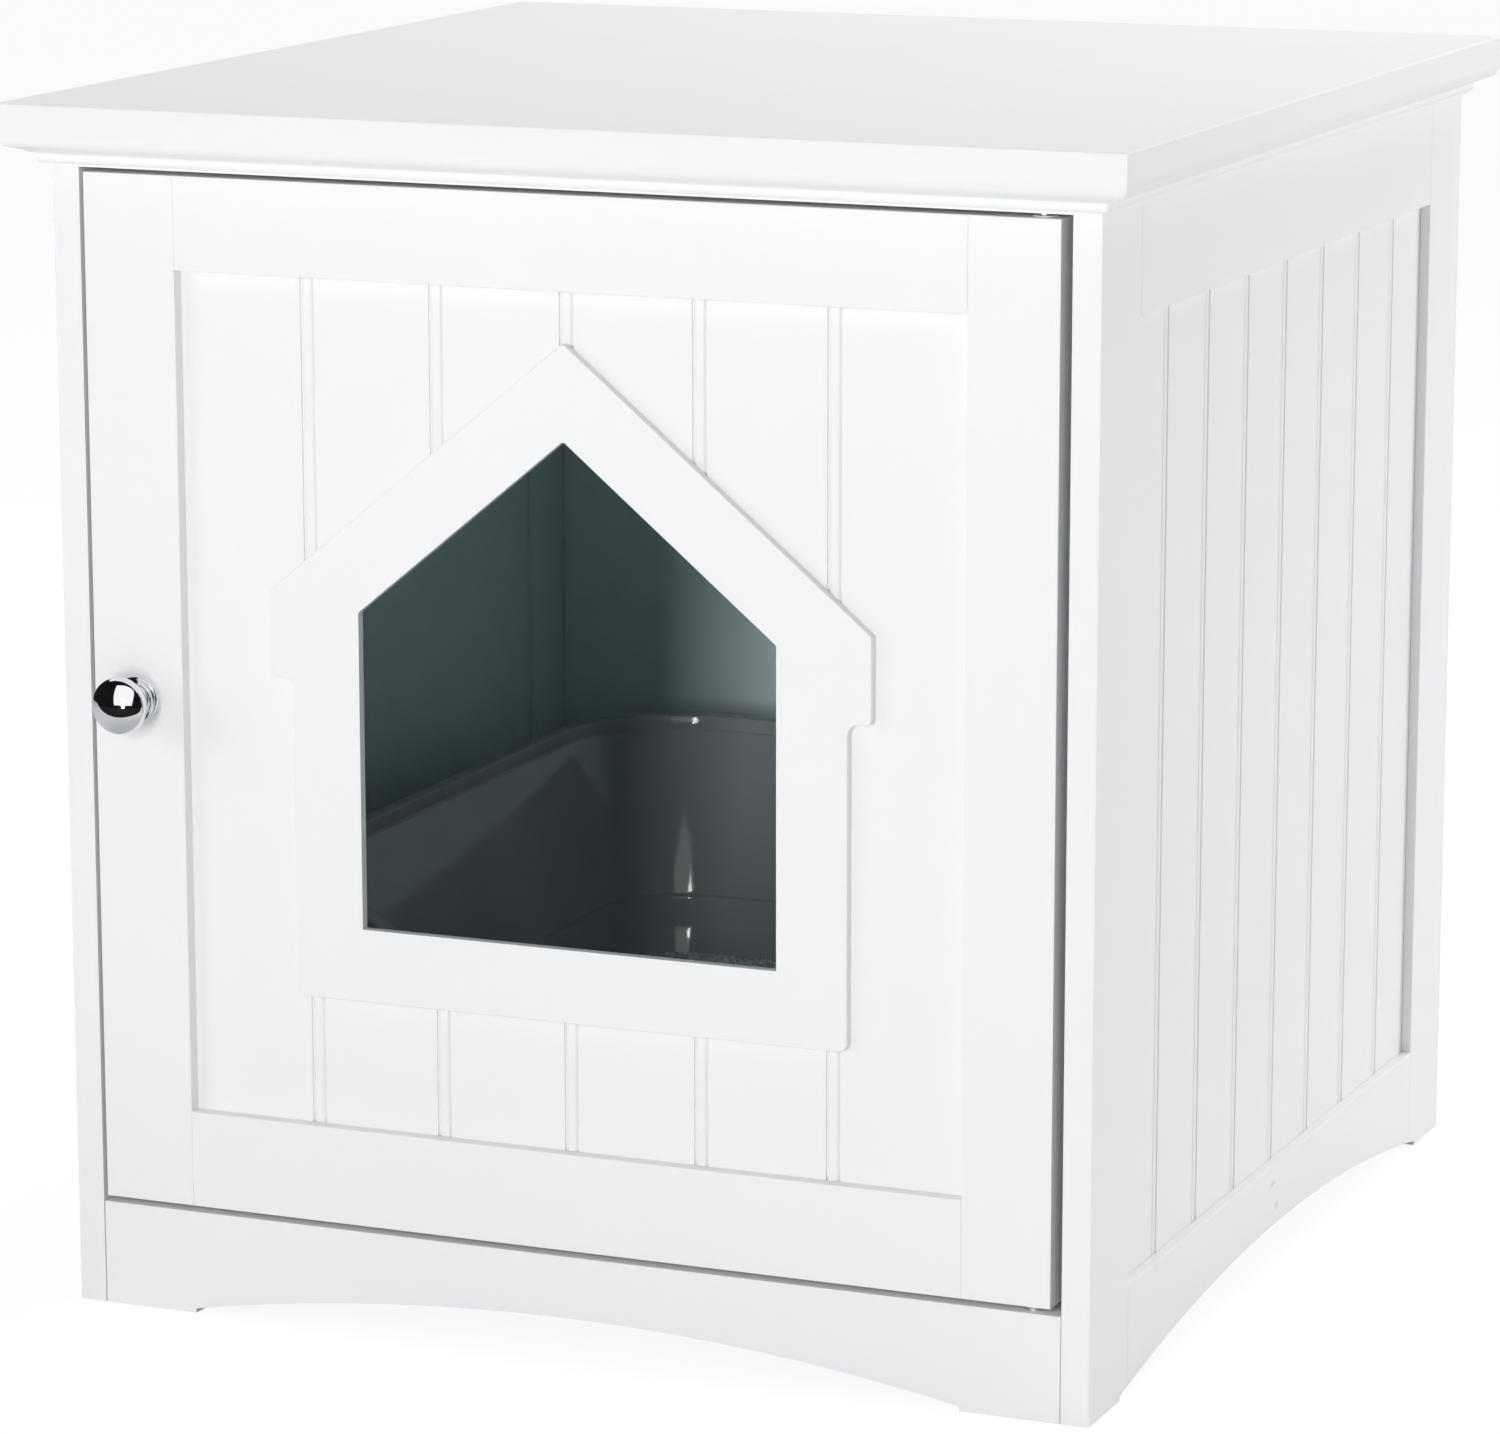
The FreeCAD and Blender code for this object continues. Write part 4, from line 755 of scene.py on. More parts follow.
@dataclass
class Screws:
    """The cross-recessed wood screws of one CAD node, as many and where the node has them."""

    node: str
    body: str
    head_radius: float = 2.8
    head_height: float = 1.6
    thread_radius: float = 1.5
    core_radius: float = 1.1
    thread_pitch: float = 1.2
    tip_length: float = 3.0
    tip_radius: float = 0.4
    recess_reach: float = 1.55
    recess_half_width: float = 0.36
    recess_depth: float = 1.1
    recess_taper: float = 0.4
    rim_bevel: float = 0.15
    weld_distance: float = 1e-6
    sharp_degrees: float = 35.0
    segments: int = 20

    def places(self) -> list[tuple[Vector, Vector, float]]:
        """Finds each screw in the CAD node.

        Returns:
            For each screw the middle of its head, its heading and its length, in metres.
        """
        bm = bmesh.new()
        bm.from_mesh(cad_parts[self.node].data)
        bmesh.ops.remove_doubles(bm, verts=bm.verts[:], dist=self.weld_distance)
        left = set(bm.verts)
        found = []
        while left:
            island, todo = [], [left.pop()]
            while todo:
                vert = todo.pop()
                island.append(vert.co.copy())
                near = {edge.other_vert(vert) for edge in vert.link_edges} & left
                left -= near
                todo.extend(near)
            low = Vector([min(p[i] for p in island) for i in range(3)])
            high = Vector([max(p[i] for p in island) for i in range(3)])
            size = high - low
            axis = max(range(3), key=lambda i: size[i])
            middle = (low + high) / 2
            slack = self.head_height * MM / 4

            def width(end: float) -> float:
                """How far the island reaches from its middle line near one end."""
                near_end = [p for p in island if abs(p[axis] - end) < slack]
                return max((p - middle).length_squared - (p - middle)[axis] ** 2 for p in near_end)

            head = low[axis] if width(low[axis]) > width(high[axis]) else high[axis]
            heading = Vector((0.0, 0.0, 0.0))
            heading[axis] = 1.0 if head == low[axis] else -1.0
            place = middle.copy()
            place[axis] = head
            found.append((place, heading, size[axis]))
        bm.free()
        return sorted(found, key=lambda row: tuple(round(v, 5) for v in row[0]))

    def profile(self, length: float) -> list[tuple[float, float]]:
        """The screw's line below its head's rim.

        Args:
            length: From head to tip, in millimetres.

        Returns:
            Radius and depth of each point.
        """
        line = [(self.head_radius, self.rim_bevel), (self.thread_radius, self.head_height)]
        depth = self.head_height + self.thread_pitch
        while depth + self.thread_pitch < length - self.tip_length:
            line.append((self.core_radius, depth))
            line.append((self.thread_radius, depth + self.thread_pitch / 2))
            depth += self.thread_pitch
        line.append((self.core_radius, length - self.tip_length))
        line.append((self.tip_radius, length))
        return line

    def template(self, length: float) -> bpy.types.Object:
        """Makes one screw that is driven along +Z with its head's face at zero.

        Args:
            length: From head to tip, in millimetres.

        Returns:
            The screw as an object for the tree to repeat.
        """
        bm = bmesh.new()
        turns = [2 * math.pi * i / self.segments for i in range(self.segments)]

        def ring(radius: float, depth: float) -> list[bmesh.types.BMVert]:
            """Adds a round ring of vertices, its radius and depth in millimetres."""
            points = [(radius * math.cos(t), radius * math.sin(t), depth) for t in turns]
            return [bm.verts.new(Vector(p) * MM) for p in points]

        def cross(taper: float, depth: float) -> list[bmesh.types.BMVert]:
            """Adds a cross-shaped ring of vertices.

            Args:
                taper: The share of the mouth's reach that the cross has here.
                depth: How deep it lies, in millimetres.

            Returns:
                The ring.
            """
            reach, half = self.recess_reach * taper, self.recess_half_width
            arm = [(reach, -half * taper), (reach, half * taper), (half, half)]
            made = []
            for quarter in range(4):
                c, s = round(math.cos(quarter * math.pi / 2)), round(math.sin(quarter * math.pi / 2))
                made += [bm.verts.new(Vector((x * c - y * s, x * s + y * c, depth)) * MM) for x, y in arm]
            return made

        def join(low: list[bmesh.types.BMVert], high: list[bmesh.types.BMVert]) -> None:
            """Adds the faces between two rings.

            Args:
                low: The first ring.
                high: The ring that follows.
            """
            for i in range(len(low)):
                j = (i + 1) % len(low)
                bm.faces.new((low[i], low[j], high[j], high[i]))

        rim, mouth = ring(self.head_radius - self.rim_bevel, 0.0), cross(1.0, 0.0)
        edges = []
        for loop in (rim, mouth):
            edges += [bm.edges.new((loop[i], loop[(i + 1) % len(loop)])) for i in range(len(loop))]
        bmesh.ops.triangle_fill(bm, edges=edges, use_beauty=True)
        bottom = cross(self.recess_taper, self.recess_depth)
        join(mouth, bottom)
        bm.faces.new(bottom)
        last = rim
        for radius, depth in self.profile(length):
            following = ring(radius, depth)
            join(last, following)
            last = following
        bm.faces.new(last)
        return bpy.data.objects.new("one_screw", closed_mesh(bm, self.sharp_degrees))

    def build(self, finish: bpy.types.Material, slot: str) -> None:
        """Repeats the screw at each place in one mesh that stands for the CAD node.

        Args:
            finish: The screws' finish.
            slot: The record's material slot.
        """
        places = self.places()
        template = self.template(places[0][2] / MM)
        bpy.context.scene.collection.objects.link(template)
        heads = bpy.data.meshes.new("heads")
        heads.from_pydata([place for place, _, _ in places], [], [])
        headings = heads.attributes.new("heading", "FLOAT_VECTOR", "POINT")
        for row, (_, heading, _) in zip(headings.data, places):
            row.vector = heading
        carrier = bpy.data.objects.new("heads", heads)
        bpy.context.scene.collection.objects.link(carrier)
        tree = Scatter("driven_screws")
        screw = tree.ask("Screw", "Object", template)
        shape = tree.node("GeometryNodeObjectInfo", {"Object": screw}, transform_space="ORIGINAL")
        heading = tree.node("GeometryNodeInputNamedAttribute", {"Name": "heading"}, data_type="FLOAT_VECTOR")
        turn = tree.node("FunctionNodeAlignRotationToVector", {"Vector": heading.outputs[0]}, axis="Z")
        driven = tree.node(
            "GeometryNodeInstanceOnPoints",
            {
                "Points": tree.given.outputs["Geometry"],
                "Instance": shape.outputs["Geometry"],
                "Rotation": turn.outputs[0],
            },
        )
        tree.end(driven.outputs[0])
        mesh = tree.run(carrier, finish)
        bpy.data.objects.remove(template)
        made = piece("recessed_" + self.node, mesh, finish)
        LOG.info("%s: %d screws", made.name, len(places))
        stand_in(made, self.body, slot, self.node)


@dataclass
class Cabinet:
    """The fixed box."""

    boards: tuple[str, ...] = ("top_board", "front_apron", "floor_panel", "back_panel")
    side_boards: tuple[str, ...] = ("front_stile", "rear_stile", "top_rail", "bottom_rail", "beadboard")
    scuffed: str = "right_bottom_rail"
    zinc_parts: tuple[str, ...] = (
        "cam_locks",
        "cam_bolts",
        "catch_pole_plates",
        "lower_pivot_pin",
        "upper_pivot_pin",
    )
    screw_nodes: tuple[str, ...] = ("cleat_screws", "floor_screws", "catch_screws")

    def build(self, finishes: Finishes) -> None:
        """Dresses the box's nodes and drives its screws.

        Args:
            finishes: The finishes.
        """
        sides = [side + board for side in ("left_", "right_") for board in self.side_boards]
        dress([*self.boards, *sides], finishes.lacquer)
        dress([self.scuffed], finishes.scuffed)
        dress(["left_floor_cleat", "right_floor_cleat", "wooden_dowels"], finishes.wood)
        dress(list(self.zinc_parts), finishes.zinc)
        dress(["catch_case"], finishes.catch)
        dress(["catch_magnet"], finishes.magnet)
        dress(["foot_pads"], finishes.foot)
        for node in self.screw_nodes:
            Screws(node, "cabinet").build(finishes.zinc, "zinc_steel")


@dataclass
class Door:
    """The door and what it carries. Lengths are in millimetres."""

    boards: tuple[str, ...] = (
        "door_latch_stile",
        "door_hinge_stile",
        "door_top_rail",
        "door_bottom_rail",
        "door_beadboard",
        "house_plate",
    )
    rosette_rise: float = 5.0
    rosette_base: float = 3.0
    rosette_radius: float = 9.8
    step_radius: float = 7.0
    edge_round: float = 1.0
    neck_radius: float = 4.5
    head_radius: float = 12.2
    head_dome: float = 7.2
    head_back: float = 4.8
    head_edge: float = 4.0
    neck_gap: float = 0.05
    flare_gap: float = 0.4
    flare_steps: int = 14
    edge_steps: int = 10
    dome_steps: int = 22
    pole_degrees: float = 89.4
    hollow_run: float = 0.5
    hollow_rise: float = 0.3
    round_steps: int = 6

    def knob_profile(self, reach: float) -> list[tuple[float, float]]:
        """The knob's line from its neck to its tip.

        Args:
            reach: How far its tip stands off the door.

        Returns:
            Radius and distance from the door of each point.
        """
        brim = reach - self.head_dome
        neck_end = brim - self.head_back
        corner = self.head_radius - self.head_edge
        rise, edge = self.head_dome, self.head_edge
        large = (corner**2 + rise**2 - edge**2) / (2 * (rise - edge))
        slant = math.degrees(math.atan2(large - rise, corner))
        flare = (self.head_radius - self.neck_radius, self.head_back)
        neck, start = self.neck_radius, self.rosette_rise + self.neck_gap
        line = [(neck, start), (neck, neck_end - self.flare_gap)]
        line += list(reversed(arc((neck, brim), flare, 0.0, -90.0, self.flare_steps)))
        line += arc((corner, brim), (edge, edge), 0.0, slant, self.edge_steps)[1:]
        line += arc((0.0, reach - large), (large, large), slant, self.pole_degrees, self.dome_steps)[1:]
        return line

    def rosette_profile(self) -> list[tuple[float, float]]:
        """The rosette's line: a base with a rounded rim, a hollow and a rounded step.

        Returns:
            Radius and distance from the door of each point.
        """
        r, base, top = self.edge_round, self.rosette_base, self.rosette_rise
        line = [(self.rosette_radius, 0.0)]
        line += arc((self.rosette_radius - r, base - r), (r, r), 0.0, 90.0, self.round_steps)
        line += [(self.step_radius + self.hollow_run, base), (self.step_radius, base + self.hollow_rise)]
        line += arc((self.step_radius - r, top - r), (r, r), 0.0, 90.0, self.round_steps)
        return line

    def build(self, finishes: Finishes) -> None:
        """Dresses the door's nodes and turns the knob and its rosette.

        Args:
            finishes: The finishes.
        """
        dress(list(self.boards), finishes.lacquer)
        dress(["knob_screw", "strike_plate"], finishes.zinc)
        dress(["lower_pivot_bush", "upper_pivot_bush"], finishes.nylon)
        low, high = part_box("knob")
        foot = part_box("knob_rosette")[1].y / MM
        centre = ((low.x + high.x) / 2 / MM, (low.z + high.z) / 2 / MM)
        reach = foot - low.y / MM
        knob = Turned(centre, foot, self.knob_profile(reach))
        stand_in(piece("turned_knob", knob.mesh(), finishes.chrome), "door", "chrome", "knob")
        plate = Turned(centre, foot, self.rosette_profile())
        made = piece("turned_rosette", plate.mesh(), finishes.chrome)
        stand_in(made, "door", "chrome", "knob_rosette")
        Screws("strike_screw", "door").build(finishes.zinc, "zinc_steel")


@dataclass
class RoundedPlan:
    """A rectangle with rounded corners, seen from above, in millimetres."""

    half_x: float
    half_y: float
    middle_y: float
    corner: float
    corner_steps: int = 14
    long_steps: int = 44
    short_steps: int = 16

    def points(self) -> list[tuple[float, float, float, float]]:
        """Walks round the plan.

        Returns:
            For each point its place and the direction inwards: x, y, inward x, inward y.
        """
        flat_x, flat_y = self.half_x - self.corner, self.half_y - self.corner
        corners = [(flat_x, -flat_y), (flat_x, flat_y), (-flat_x, flat_y), (-flat_x, -flat_y)]
        made = []
        for k, (cx, cy) in enumerate(corners):
            start = -90.0 + 90.0 * k
            turned = arc((0.0, 0.0), (1.0, 1.0), start, start + 90.0, self.corner_steps)
            made += [(cx + self.corner * x, self.middle_y + cy + self.corner * y, -x, -y) for x, y in turned]
            x, y = turned[-1]
            nx, ny = corners[(k + 1) % 4]
            steps = self.short_steps if k % 2 == 0 else self.long_steps
            for i in range(1, steps):
                sx, sy = cx + (nx - cx) * i / steps, cy + (ny - cy) * i / steps
                made.append((sx + self.corner * x, self.middle_y + sy + self.corner * y, -x, -y))
        return made


@dataclass
class Pan:
    """The moulded litter pan and the litter in it. Lengths are in millimetres."""

    corner: float = 64.0
    dip_half_width: float = 75.0
    dip_run: float = 60.0
    dip_depth: float = 22.0
    draft: float = 17.0 / 76.0
    outside: tuple[tuple[float, float], ...] = (
        (41.0, 0.0),
        (37.5, 1.2),
        (34.6, 4.2),
        (33.0, 9.0),
        (27.0, 38.0),
        (25.5, 50.5),
        (23.0, 52.0),
    )
    under_lip: tuple[float, float] = (6.0, 126.0)
    lip: tuple[tuple[float, float], ...] = (
        (1.5, 126.0),
        (0.4, 126.4),
        (0.0, 127.5),
        (0.0, 133.0),
        (0.45, 134.3),
        (1.5, 135.0),
    )
    lip_inside: tuple[tuple[float, float], ...] = (
        (5.5, 135.0),
        (6.6, 134.6),
        (7.0, 133.6),
        (7.0, 128.6),
        (7.4, 128.05),
        (8.0, 128.0),
        (8.5, 127.4),
    )
    inside: tuple[tuple[float, float], ...] = (
        (25.5, 53.2),
        (25.8, 52.4),
        (26.4, 52.0),
        (27.4, 51.6),
        (27.9, 50.9),
        (28.0, 50.2),
        (29.4, 40.0),
        (30.2, 36.0),
        (31.6, 31.0),
        (33.6, 26.0),
        (40.5, 6.0),
        (41.6, 3.6),
        (43.5, 2.5),
    )
    litter_inset: float = 33.6
    litter_level: float = 25.4
    litter_wave: float = 1.6
    litter_rings: int = 34
    granule_radius: float = 1.55
    granule_spacing: float = 3.1
    granule_seed: int = 11
    granule_density: float = 260000.0
    granule_least: Point = (0.55, 0.5, 0.45)
    granule_most: Point = (1.1, 1.0, 0.85)
    turn_seed: int = 3
    size_seed: int = 5
    full_turn: float = 6.28
    level_normal: float = 0.7
    bed_gap: float = 0.3
    brim_gap: float = 0.4
    wave_length: float = 46.0
    wave_layer: float = 3.0
    calm_power: int = 6
    shell_sharp_degrees: float = 28.0
    bed_sharp_degrees: float = 60.0

    def drop(self, x: float, front: bool) -> float:
        """How far the lip is lowered at a place, easing out at both ends of the dip.

        Args:
            x: The place across the pan.
            front: Whether it is on the pan's front.

        Returns:
            The fall.
        """
        beyond = (abs(x) - self.dip_half_width) / self.dip_run
        if not front or beyond >= 1.0:
            return 0.0
        ease = max(beyond, 0.0)
        fall = 1.0 - 2.0 * ease**2 if ease < 0.5 else 2.0 * (1.0 - ease) ** 2
        return self.dip_depth * fall

    def outline(self) -> tuple[list[tuple[float, float, float, float]], float, float]:
        """Walks round the CAD pan's lip.

        Returns:
            The plan's points with their directions inwards, the y of its middle and the z of the
            pan's foot.
        """
        low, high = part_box("litter_pan")
        low, high = low / MM, high / MM
        half_x, half_y, middle_y = (high.x - low.x) / 2, (high.y - low.y) / 2, (low.y + high.y) / 2
        return RoundedPlan(half_x, half_y, middle_y, self.corner).points(), middle_y, low.z

    def rings(self) -> list[list[Point]]:
        """Works out the pan's skin, ring by ring, from under its floor over the lip to inside.

        Returns:
            The rings, in metres.
        """
        plan, middle_y, foot = self.outline()
        drops = [self.drop(x, y < middle_y) for x, y, _, _ in plan]

        def ring(inset: float, rise: float, lowered: bool, drawn_in: bool) -> list[Point]:
            """Works out one ring.

            Args:
                inset: How far it lies inside the lip's outline.
                rise: Its height over the pan's foot.
                lowered: Whether it follows the dip.
                drawn_in: Whether it follows the wall's slope where it is lowered.

            Returns:
                The ring, in metres.
            """
            made = []
            for (x, y, to_x, to_y), fall in zip(plan, drops):
                down = fall if lowered else 0.0
                inwards = inset + (down * self.draft if drawn_in else 0.0)
                made.append((x + to_x * inwards, y + to_y * inwards, foot + rise - down))
            return [tuple(v * MM for v in point) for point in made]

        rows = [ring(inset, rise, False, False) for inset, rise in self.outside]
        rows.append(ring(*self.under_lip, True, True))
        rows += [ring(inset, rise, True, False) for inset, rise in self.lip]
        rows += [ring(inset, rise, True, True) for inset, rise in self.lip_inside]
        rows += [ring(inset, rise, False, False) for inset, rise in self.inside]
        return rows

    def shell(self, finish: bpy.types.Material) -> None:
        """Makes the moulded pan that stands for the CAD one.

        Args:
            finish: Its finish.
        """
        bm = bmesh.new()
        stacked_rings(bm, self.rings())
        made = piece("moulded_pan", closed_mesh(bm, self.shell_sharp_degrees), finish)
        stand_in(made, "litter_pan", "pan_plastic", "litter_pan")

    def bed(self) -> bpy.types.Object:
        """Makes the litter's body, level but for low waves, inside the pan's walls.

        Returns:
            The body as an object for the granules to lie on.
        """
        plan, middle_y, foot = self.outline()
        floor_inset, floor_rise = (value + self.bed_gap for value in self.inside[-1])
        level = foot + self.litter_level

        def edge(inset: float, z: float) -> list[Point]:
            """The plan's outline at an inset and a height."""
            return [(x + tx * inset, y + ty * inset, z) for x, y, tx, ty in plan]

        brim = edge(self.litter_inset + self.brim_gap, level)
        rows = [edge(floor_inset, foot + floor_rise), brim]
        for step in range(1, self.litter_rings):
            part = 1.0 - step / self.litter_rings
            row = []
            for x, y, _ in brim:
                px, py = x * part, middle_y + (y - middle_y) * part
                spot = Vector((px / self.wave_length, py / self.wave_length, self.wave_layer))
                wave = noise.noise(spot) * (1.0 - part**self.calm_power)
                row.append((px, py, level + self.litter_wave * wave))
            rows.append(row)
        bm = bmesh.new()
        stacked_rings(bm, [[tuple(v * MM for v in point) for point in row] for row in rows])
        made = bpy.data.objects.new("bed", closed_mesh(bm, self.bed_sharp_degrees))
        bpy.context.scene.collection.objects.link(made)
        return made

    def litter(self, finish: bpy.types.Material) -> None:
        """Strews granules over the bed and joins them with it.

        Args:
            finish: The litter's finish.
        """
        tree = Scatter("strewn_granules")
        spacing = tree.ask("Spacing", "Float", self.granule_spacing * MM)
        radius = tree.ask("Radius", "Float", self.granule_radius * MM)
        seed = tree.ask("Seed", "Int", self.granule_seed)
        bed = tree.given.outputs["Geometry"]
        normal = tree.node("GeometryNodeInputNormal", {})
        parts = tree.node("ShaderNodeSeparateXYZ", {0: normal.outputs[0]})
        rise = {0: parts.outputs[2], 1: self.level_normal}
        top = tree.node("FunctionNodeCompare", rise, operation="GREATER_THAN")
        points = tree.node("GeometryNodeDistributePointsOnFaces", {}, distribute_method="POISSON")
        for name, socket in (("Mesh", bed), ("Selection", top.outputs[0]), ("Distance Min", spacing)):
            tree.tree.links.new(socket, points.inputs[name])
        tree.tree.links.new(seed, points.inputs["Seed"])
        points.inputs["Density Max"].default_value = self.granule_density
        grain = tree.node("GeometryNodeMeshIcoSphere", {"Radius": radius, "Subdivisions": 1})
        turns = {0: (0.0, 0.0, 0.0), 1: (self.full_turn,) * 3, "Seed": self.turn_seed}
        turn = tree.node("FunctionNodeRandomValue", turns, data_type="FLOAT_VECTOR")
        sizes = {0: self.granule_least, 1: self.granule_most, "Seed": self.size_seed}
        size = tree.node("FunctionNodeRandomValue", sizes, data_type="FLOAT_VECTOR")
        strewn = tree.node(
            "GeometryNodeInstanceOnPoints",
            {
                "Points": points.outputs["Points"],
                "Instance": grain.outputs["Mesh"],
                "Rotation": turn.outputs[0],
                "Scale": size.outputs[0],
            },
        )
        joined = tree.node("GeometryNodeJoinGeometry", {})
        for socket in (strewn.outputs[0], bed):
            tree.tree.links.new(socket, joined.inputs[0])
        tree.end(joined.outputs[0])
        made = piece("strewn_litter", tree.run(self.bed(), finish), finish)
        stand_in(made, "litter_pan", "litter", "litter_bed")

    def build(self, finishes: Finishes) -> None:
        """Makes the pan and the litter."""
        self.shell(finishes.pan)
        self.litter(finishes.litter)


@dataclass(frozen=True)
class Lamp:
    """A soft lamp, as wide and high as size says, that faces the object. Metres and watts."""

    name: str
    place: Point
    size: tuple[float, float]
    power: float
    mirrored: bool = True

    def build(self, aim: Point) -> None:
        """Makes the lamp.

        Args:
            aim: The point that it faces.
        """
        data = bpy.data.lights.new(self.name, "AREA")
        data.shape = "RECTANGLE"
        data.size, data.size_y = self.size
        data.energy = self.power
        lamp = bpy.data.objects.new(self.name, data)
        lamp.location = self.place
        lamp.visible_glossy = self.mirrored
        direction = Vector(aim) - Vector(self.place)
        lamp.rotation_euler = direction.to_track_quat("-Z", "Y").to_euler()
        bpy.context.scene.collection.objects.link(lamp)


@dataclass(frozen=True)
class Card:
    """A card that only reflections see, which gives gloss and chrome their dark or bright parts."""

    name: str
    corners: tuple[Point, Point, Point, Point]

    def build(self, finish: bpy.types.Material) -> None:
        """Makes the card.

        Args:
            finish: Its finish.
        """
        mesh = bpy.data.meshes.new(self.name)
        mesh.from_pydata(self.corners, [], [(0, 1, 2, 3)])
        mesh.materials.append(finish)
        card = bpy.data.objects.new(self.name, mesh)
        bpy.context.scene.collection.objects.link(card)
        card.visible_camera = False
        card.visible_diffuse = False
        card.visible_shadow = False
        card.visible_transmission = False


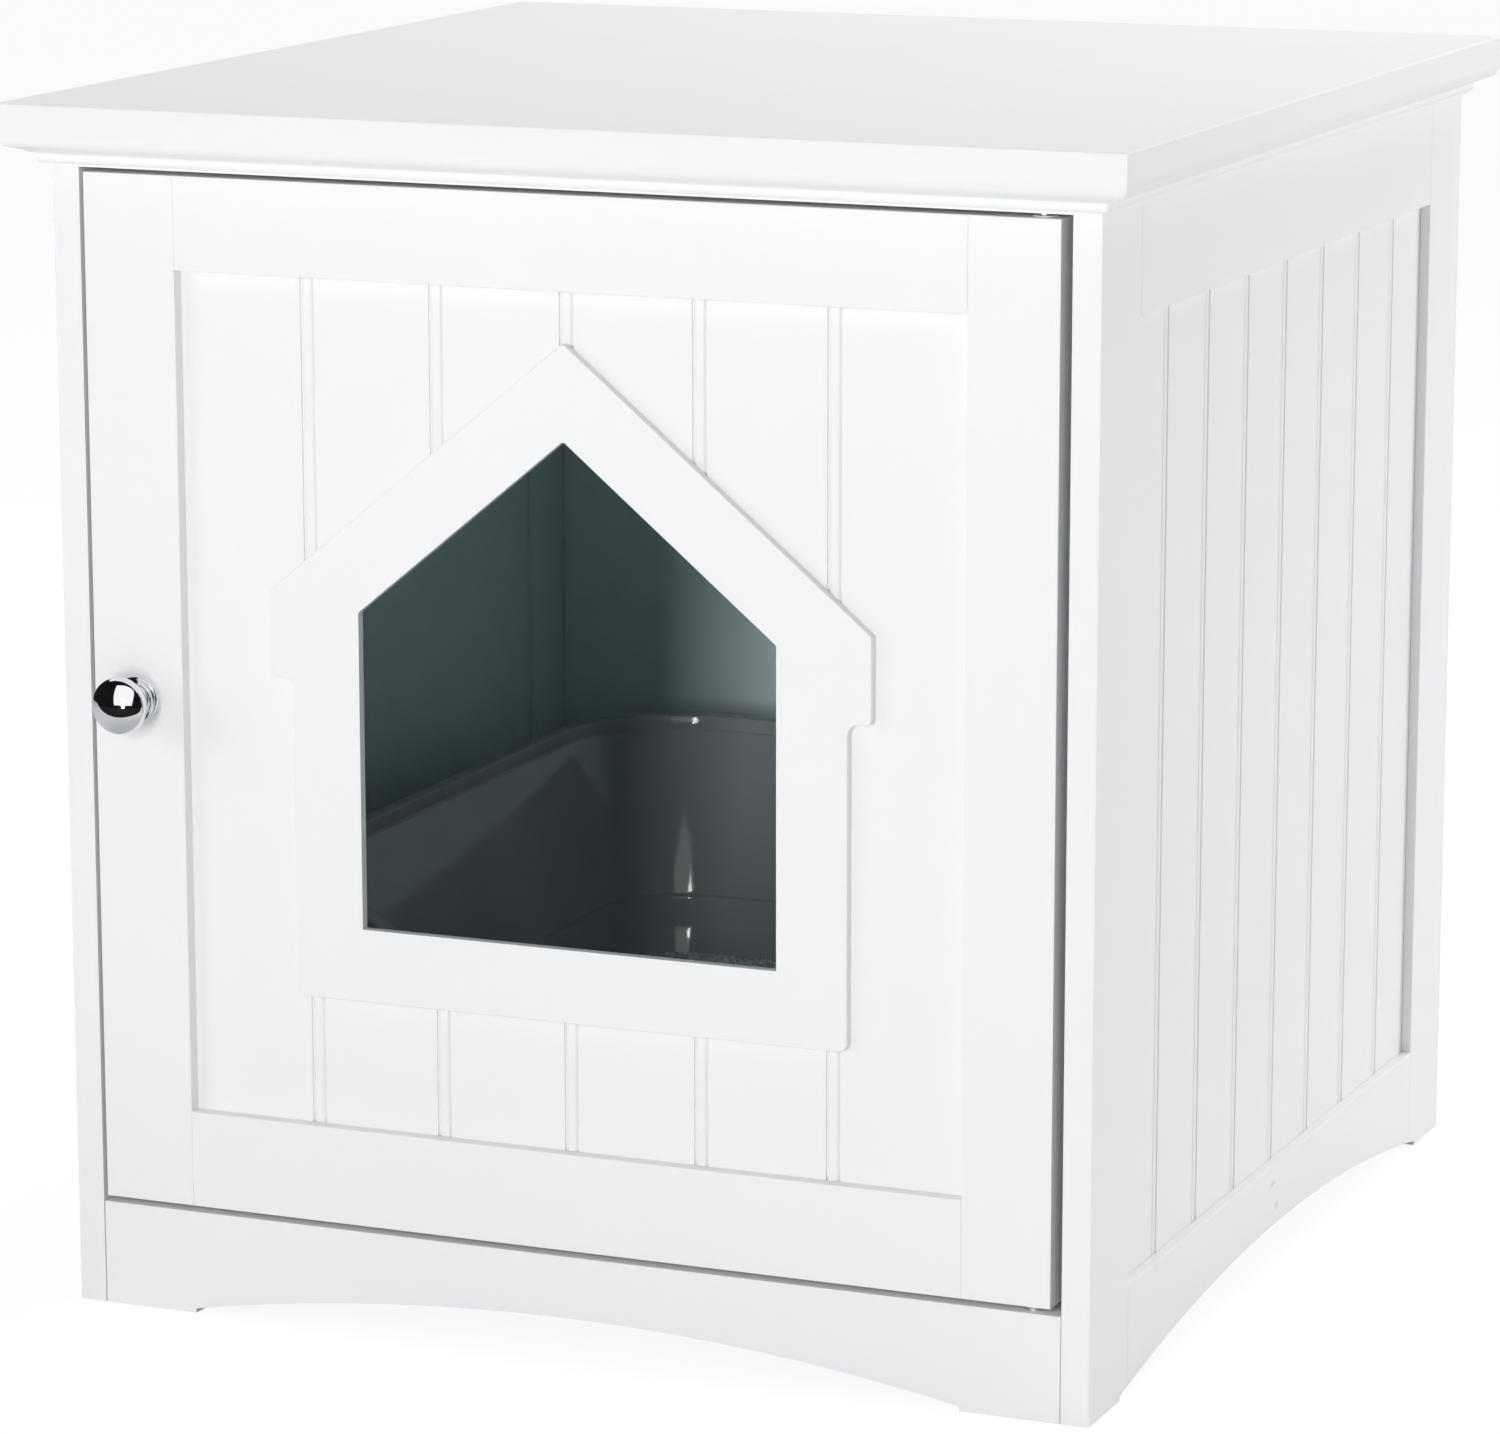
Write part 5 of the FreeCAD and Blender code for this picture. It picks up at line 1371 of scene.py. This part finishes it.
@dataclass
class Studio:
    """Floor, light and camera. Lengths are in metres unless their name says otherwise."""

    image_width: float = 1500.0
    image_height: float = 1434.0
    focal_px: float = 6066.3
    principal_px: tuple[float, float] = (726.3, 812.4)
    camera_mm: Point = (990.1, -2405.7, 763.1)
    azimuth: float = 22.91
    elevation: float = 12.57
    roll: float = 0.09
    sensor_mm: float = 36.0
    floor_size: float = 14.0
    floor_glow: float = 0.91
    floor_lit: float = 0.15
    floor_bounce: float = 0.85
    world_colour: Colour = (0.93, 0.965, 1.0)
    world_strength: float = 0.335
    aim: Point = (0.0, 0.0, 0.25)
    lamps: tuple[Lamp, ...] = (
        Lamp("key", (0.07, -2.1, 0.5), (0.25, 0.9), 15.5),
        Lamp("front_left", (-1.6, -1.6, 0.8), (0.9, 0.9), 7.0, mirrored=False),
        Lamp("side", (2.4, 0.3, 0.6), (1.0, 1.0), 4.0),
        Lamp("side_back", (2.0, 1.6, 0.8), (1.0, 1.0), 19.5),
        Lamp("top", (0.4, 0.9, 2.5), (1.2, 1.2), 27.0),
    )
    card_reach: float = 3.4
    card_y: float = -3.3
    card_floor_y: float = -0.62
    card_floor_z: float = 0.004
    softbox_place: Point = (0.12, -2.08, 1.34)
    softbox_half: float = 1.2
    softbox_glow: float = 1.1
    overhead_y: float = -0.8
    dark_card: Colour = (0.02, 0.02, 0.02)
    dark_card_rough: float = 0.9
    camera_reach: float = 60.0

    def camera(self) -> None:
        """Makes the camera at the photograph's viewing angle."""
        data = bpy.data.cameras.new("camera")
        data.sensor_width = self.sensor_mm
        data.sensor_fit = "HORIZONTAL"
        data.lens = self.sensor_mm * self.focal_px / self.image_width
        data.shift_x = (self.image_width / 2 - self.principal_px[0]) / self.image_width
        data.shift_y = (self.principal_px[1] - self.image_height / 2) / self.image_width
        data.clip_end = self.camera_reach
        camera = bpy.data.objects.new("camera", data)
        camera.location = Vector(self.camera_mm) * MM
        turn = (90.0 - self.elevation, self.roll, self.azimuth)
        camera.rotation_euler = [math.radians(angle) for angle in turn]
        bpy.context.scene.collection.objects.link(camera)
        bpy.context.scene.camera = camera

    def world(self) -> None:
        """Makes an even pale surround that is white where it is seen."""
        world = bpy.data.worlds.new("surround")
        world.use_nodes = True
        bpy.context.scene.world = world
        tree = world.node_tree
        tree.nodes.clear()
        light = tree.nodes.new("ShaderNodeBackground")
        light.inputs["Color"].default_value = (*self.world_colour, 1.0)
        light.inputs["Strength"].default_value = self.world_strength
        white = tree.nodes.new("ShaderNodeBackground")
        white.inputs["Color"].default_value = (1.0, 1.0, 1.0, 1.0)
        path = tree.nodes.new("ShaderNodeLightPath")
        seen = path.outputs["Is Camera Ray"]
        for ray in ("Is Transmission Ray", "Is Glossy Ray"):
            either = tree.nodes.new("ShaderNodeMath")
            either.operation = "MAXIMUM"
            tree.links.new(seen, either.inputs[0])
            tree.links.new(path.outputs[ray], either.inputs[1])
            seen = either.outputs[0]
        mix = tree.nodes.new("ShaderNodeMixShader")
        output = tree.nodes.new("ShaderNodeOutputWorld")
        tree.links.new(seen, mix.inputs["Fac"])
        tree.links.new(light.outputs[0], mix.inputs[1])
        tree.links.new(white.outputs[0], mix.inputs[2])
        tree.links.new(mix.outputs[0], output.inputs["Surface"])

    def floor(self) -> None:
        """Makes the floor, which is seen white with the object's soft shadow on it."""
        mesh = bpy.data.meshes.new("floor")
        half = self.floor_size / 2
        corners = [(-half, -half, 0), (half, -half, 0), (half, half, 0), (-half, half, 0)]
        mesh.from_pydata(corners, [], [(0, 1, 2, 3)])
        floor = bpy.data.objects.new("floor", mesh)
        bpy.context.scene.collection.objects.link(floor)
        g = Graph("floor_white")
        g.tree.nodes.remove(g.shader)
        glow = g.node("Emission")
        glow.inputs["Strength"].default_value = self.floor_glow
        shadowed, bounce = g.node("BsdfDiffuse"), g.node("BsdfDiffuse")
        shadowed.inputs["Color"].default_value = (*[self.floor_lit] * 3, 1.0)
        bounce.inputs["Color"].default_value = (*[self.floor_bounce] * 3, 1.0)
        seen, both, mix = g.node("LightPath"), g.node("AddShader"), g.node("MixShader")
        g.link(glow.outputs[0], both.inputs[0])
        g.link(shadowed.outputs[0], both.inputs[1])
        g.link(seen.outputs["Is Camera Ray"], mix.inputs[0])
        g.link(bounce.outputs[0], mix.inputs[1])
        g.link(both.outputs[0], mix.inputs[2])
        g.link(mix.outputs[0], g.output.inputs["Surface"])
        mesh.materials.append(g.material)

    def cards(self) -> None:
        """Makes the dark cards round the front of the object and the bright one over the camera."""
        g = Graph("card_black")
        g.constants(Base_Color=(*self.dark_card, 1.0), Roughness=self.dark_card_rough)
        g.constants(Specular_IOR_Level=0.0)
        r, y, far = self.card_reach, self.card_y, self.overhead_y
        near, z = self.card_floor_y, self.card_floor_z
        dark = (
            Card("front_card", ((-r, y, 0.0), (r, y, 0.0), (r, y, r), (-r, y, r))),
            Card("left_card", ((-r, y, 0.0), (-r, r, 0.0), (-r, r, r), (-r, y, r))),
            Card("right_card", ((r, y, 0.0), (r, 0.0, 0.0), (r, 0.0, r), (r, y, r))),
            Card("overhead_card", ((-r, y, r), (r, y, r), (r, far, r), (-r, far, r))),
            Card("floor_card", ((-r, y, z), (r, y, z), (r, near, z), (-r, near, z))),
        )
        for card in dark:
            card.build(g.material)
        bright = Graph("card_white")
        glow = (self.softbox_glow,) * 3
        bright.constants(Base_Color=(0.0, 0.0, 0.0, 1.0), Specular_IOR_Level=0.0)
        bright.constants(Emission_Color=(*glow, 1.0), Emission_Strength=1.0)
        middle = Vector(self.softbox_place)
        facing = (Vector(self.aim) - middle).to_track_quat("-Z", "Y")
        h = self.softbox_half
        flat = [Vector(corner) for corner in ((-h, -h, 0), (h, -h, 0), (h, h, 0), (-h, h, 0))]
        corners = [tuple(middle + facing @ corner) for corner in flat]
        Card("softbox", tuple(corners)).build(bright.material)

    def build(self) -> None:
        """Makes the whole studio."""
        self.camera()
        self.world()
        self.floor()
        self.cards()
        for lamp in self.lamps:
            lamp.build(self.aim)
        bpy.context.scene.view_settings.view_transform = "Standard"


def main() -> None:
    """Builds the looks in order."""
    logging.basicConfig(level=logging.INFO, format="%(name)s: %(message)s")
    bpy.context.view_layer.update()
    finishes = Finishes()
    for part in (Cabinet(), Door(), Pan()):
        part.build(finishes)
    Studio().build()


if __name__ == "__main__":
    main()
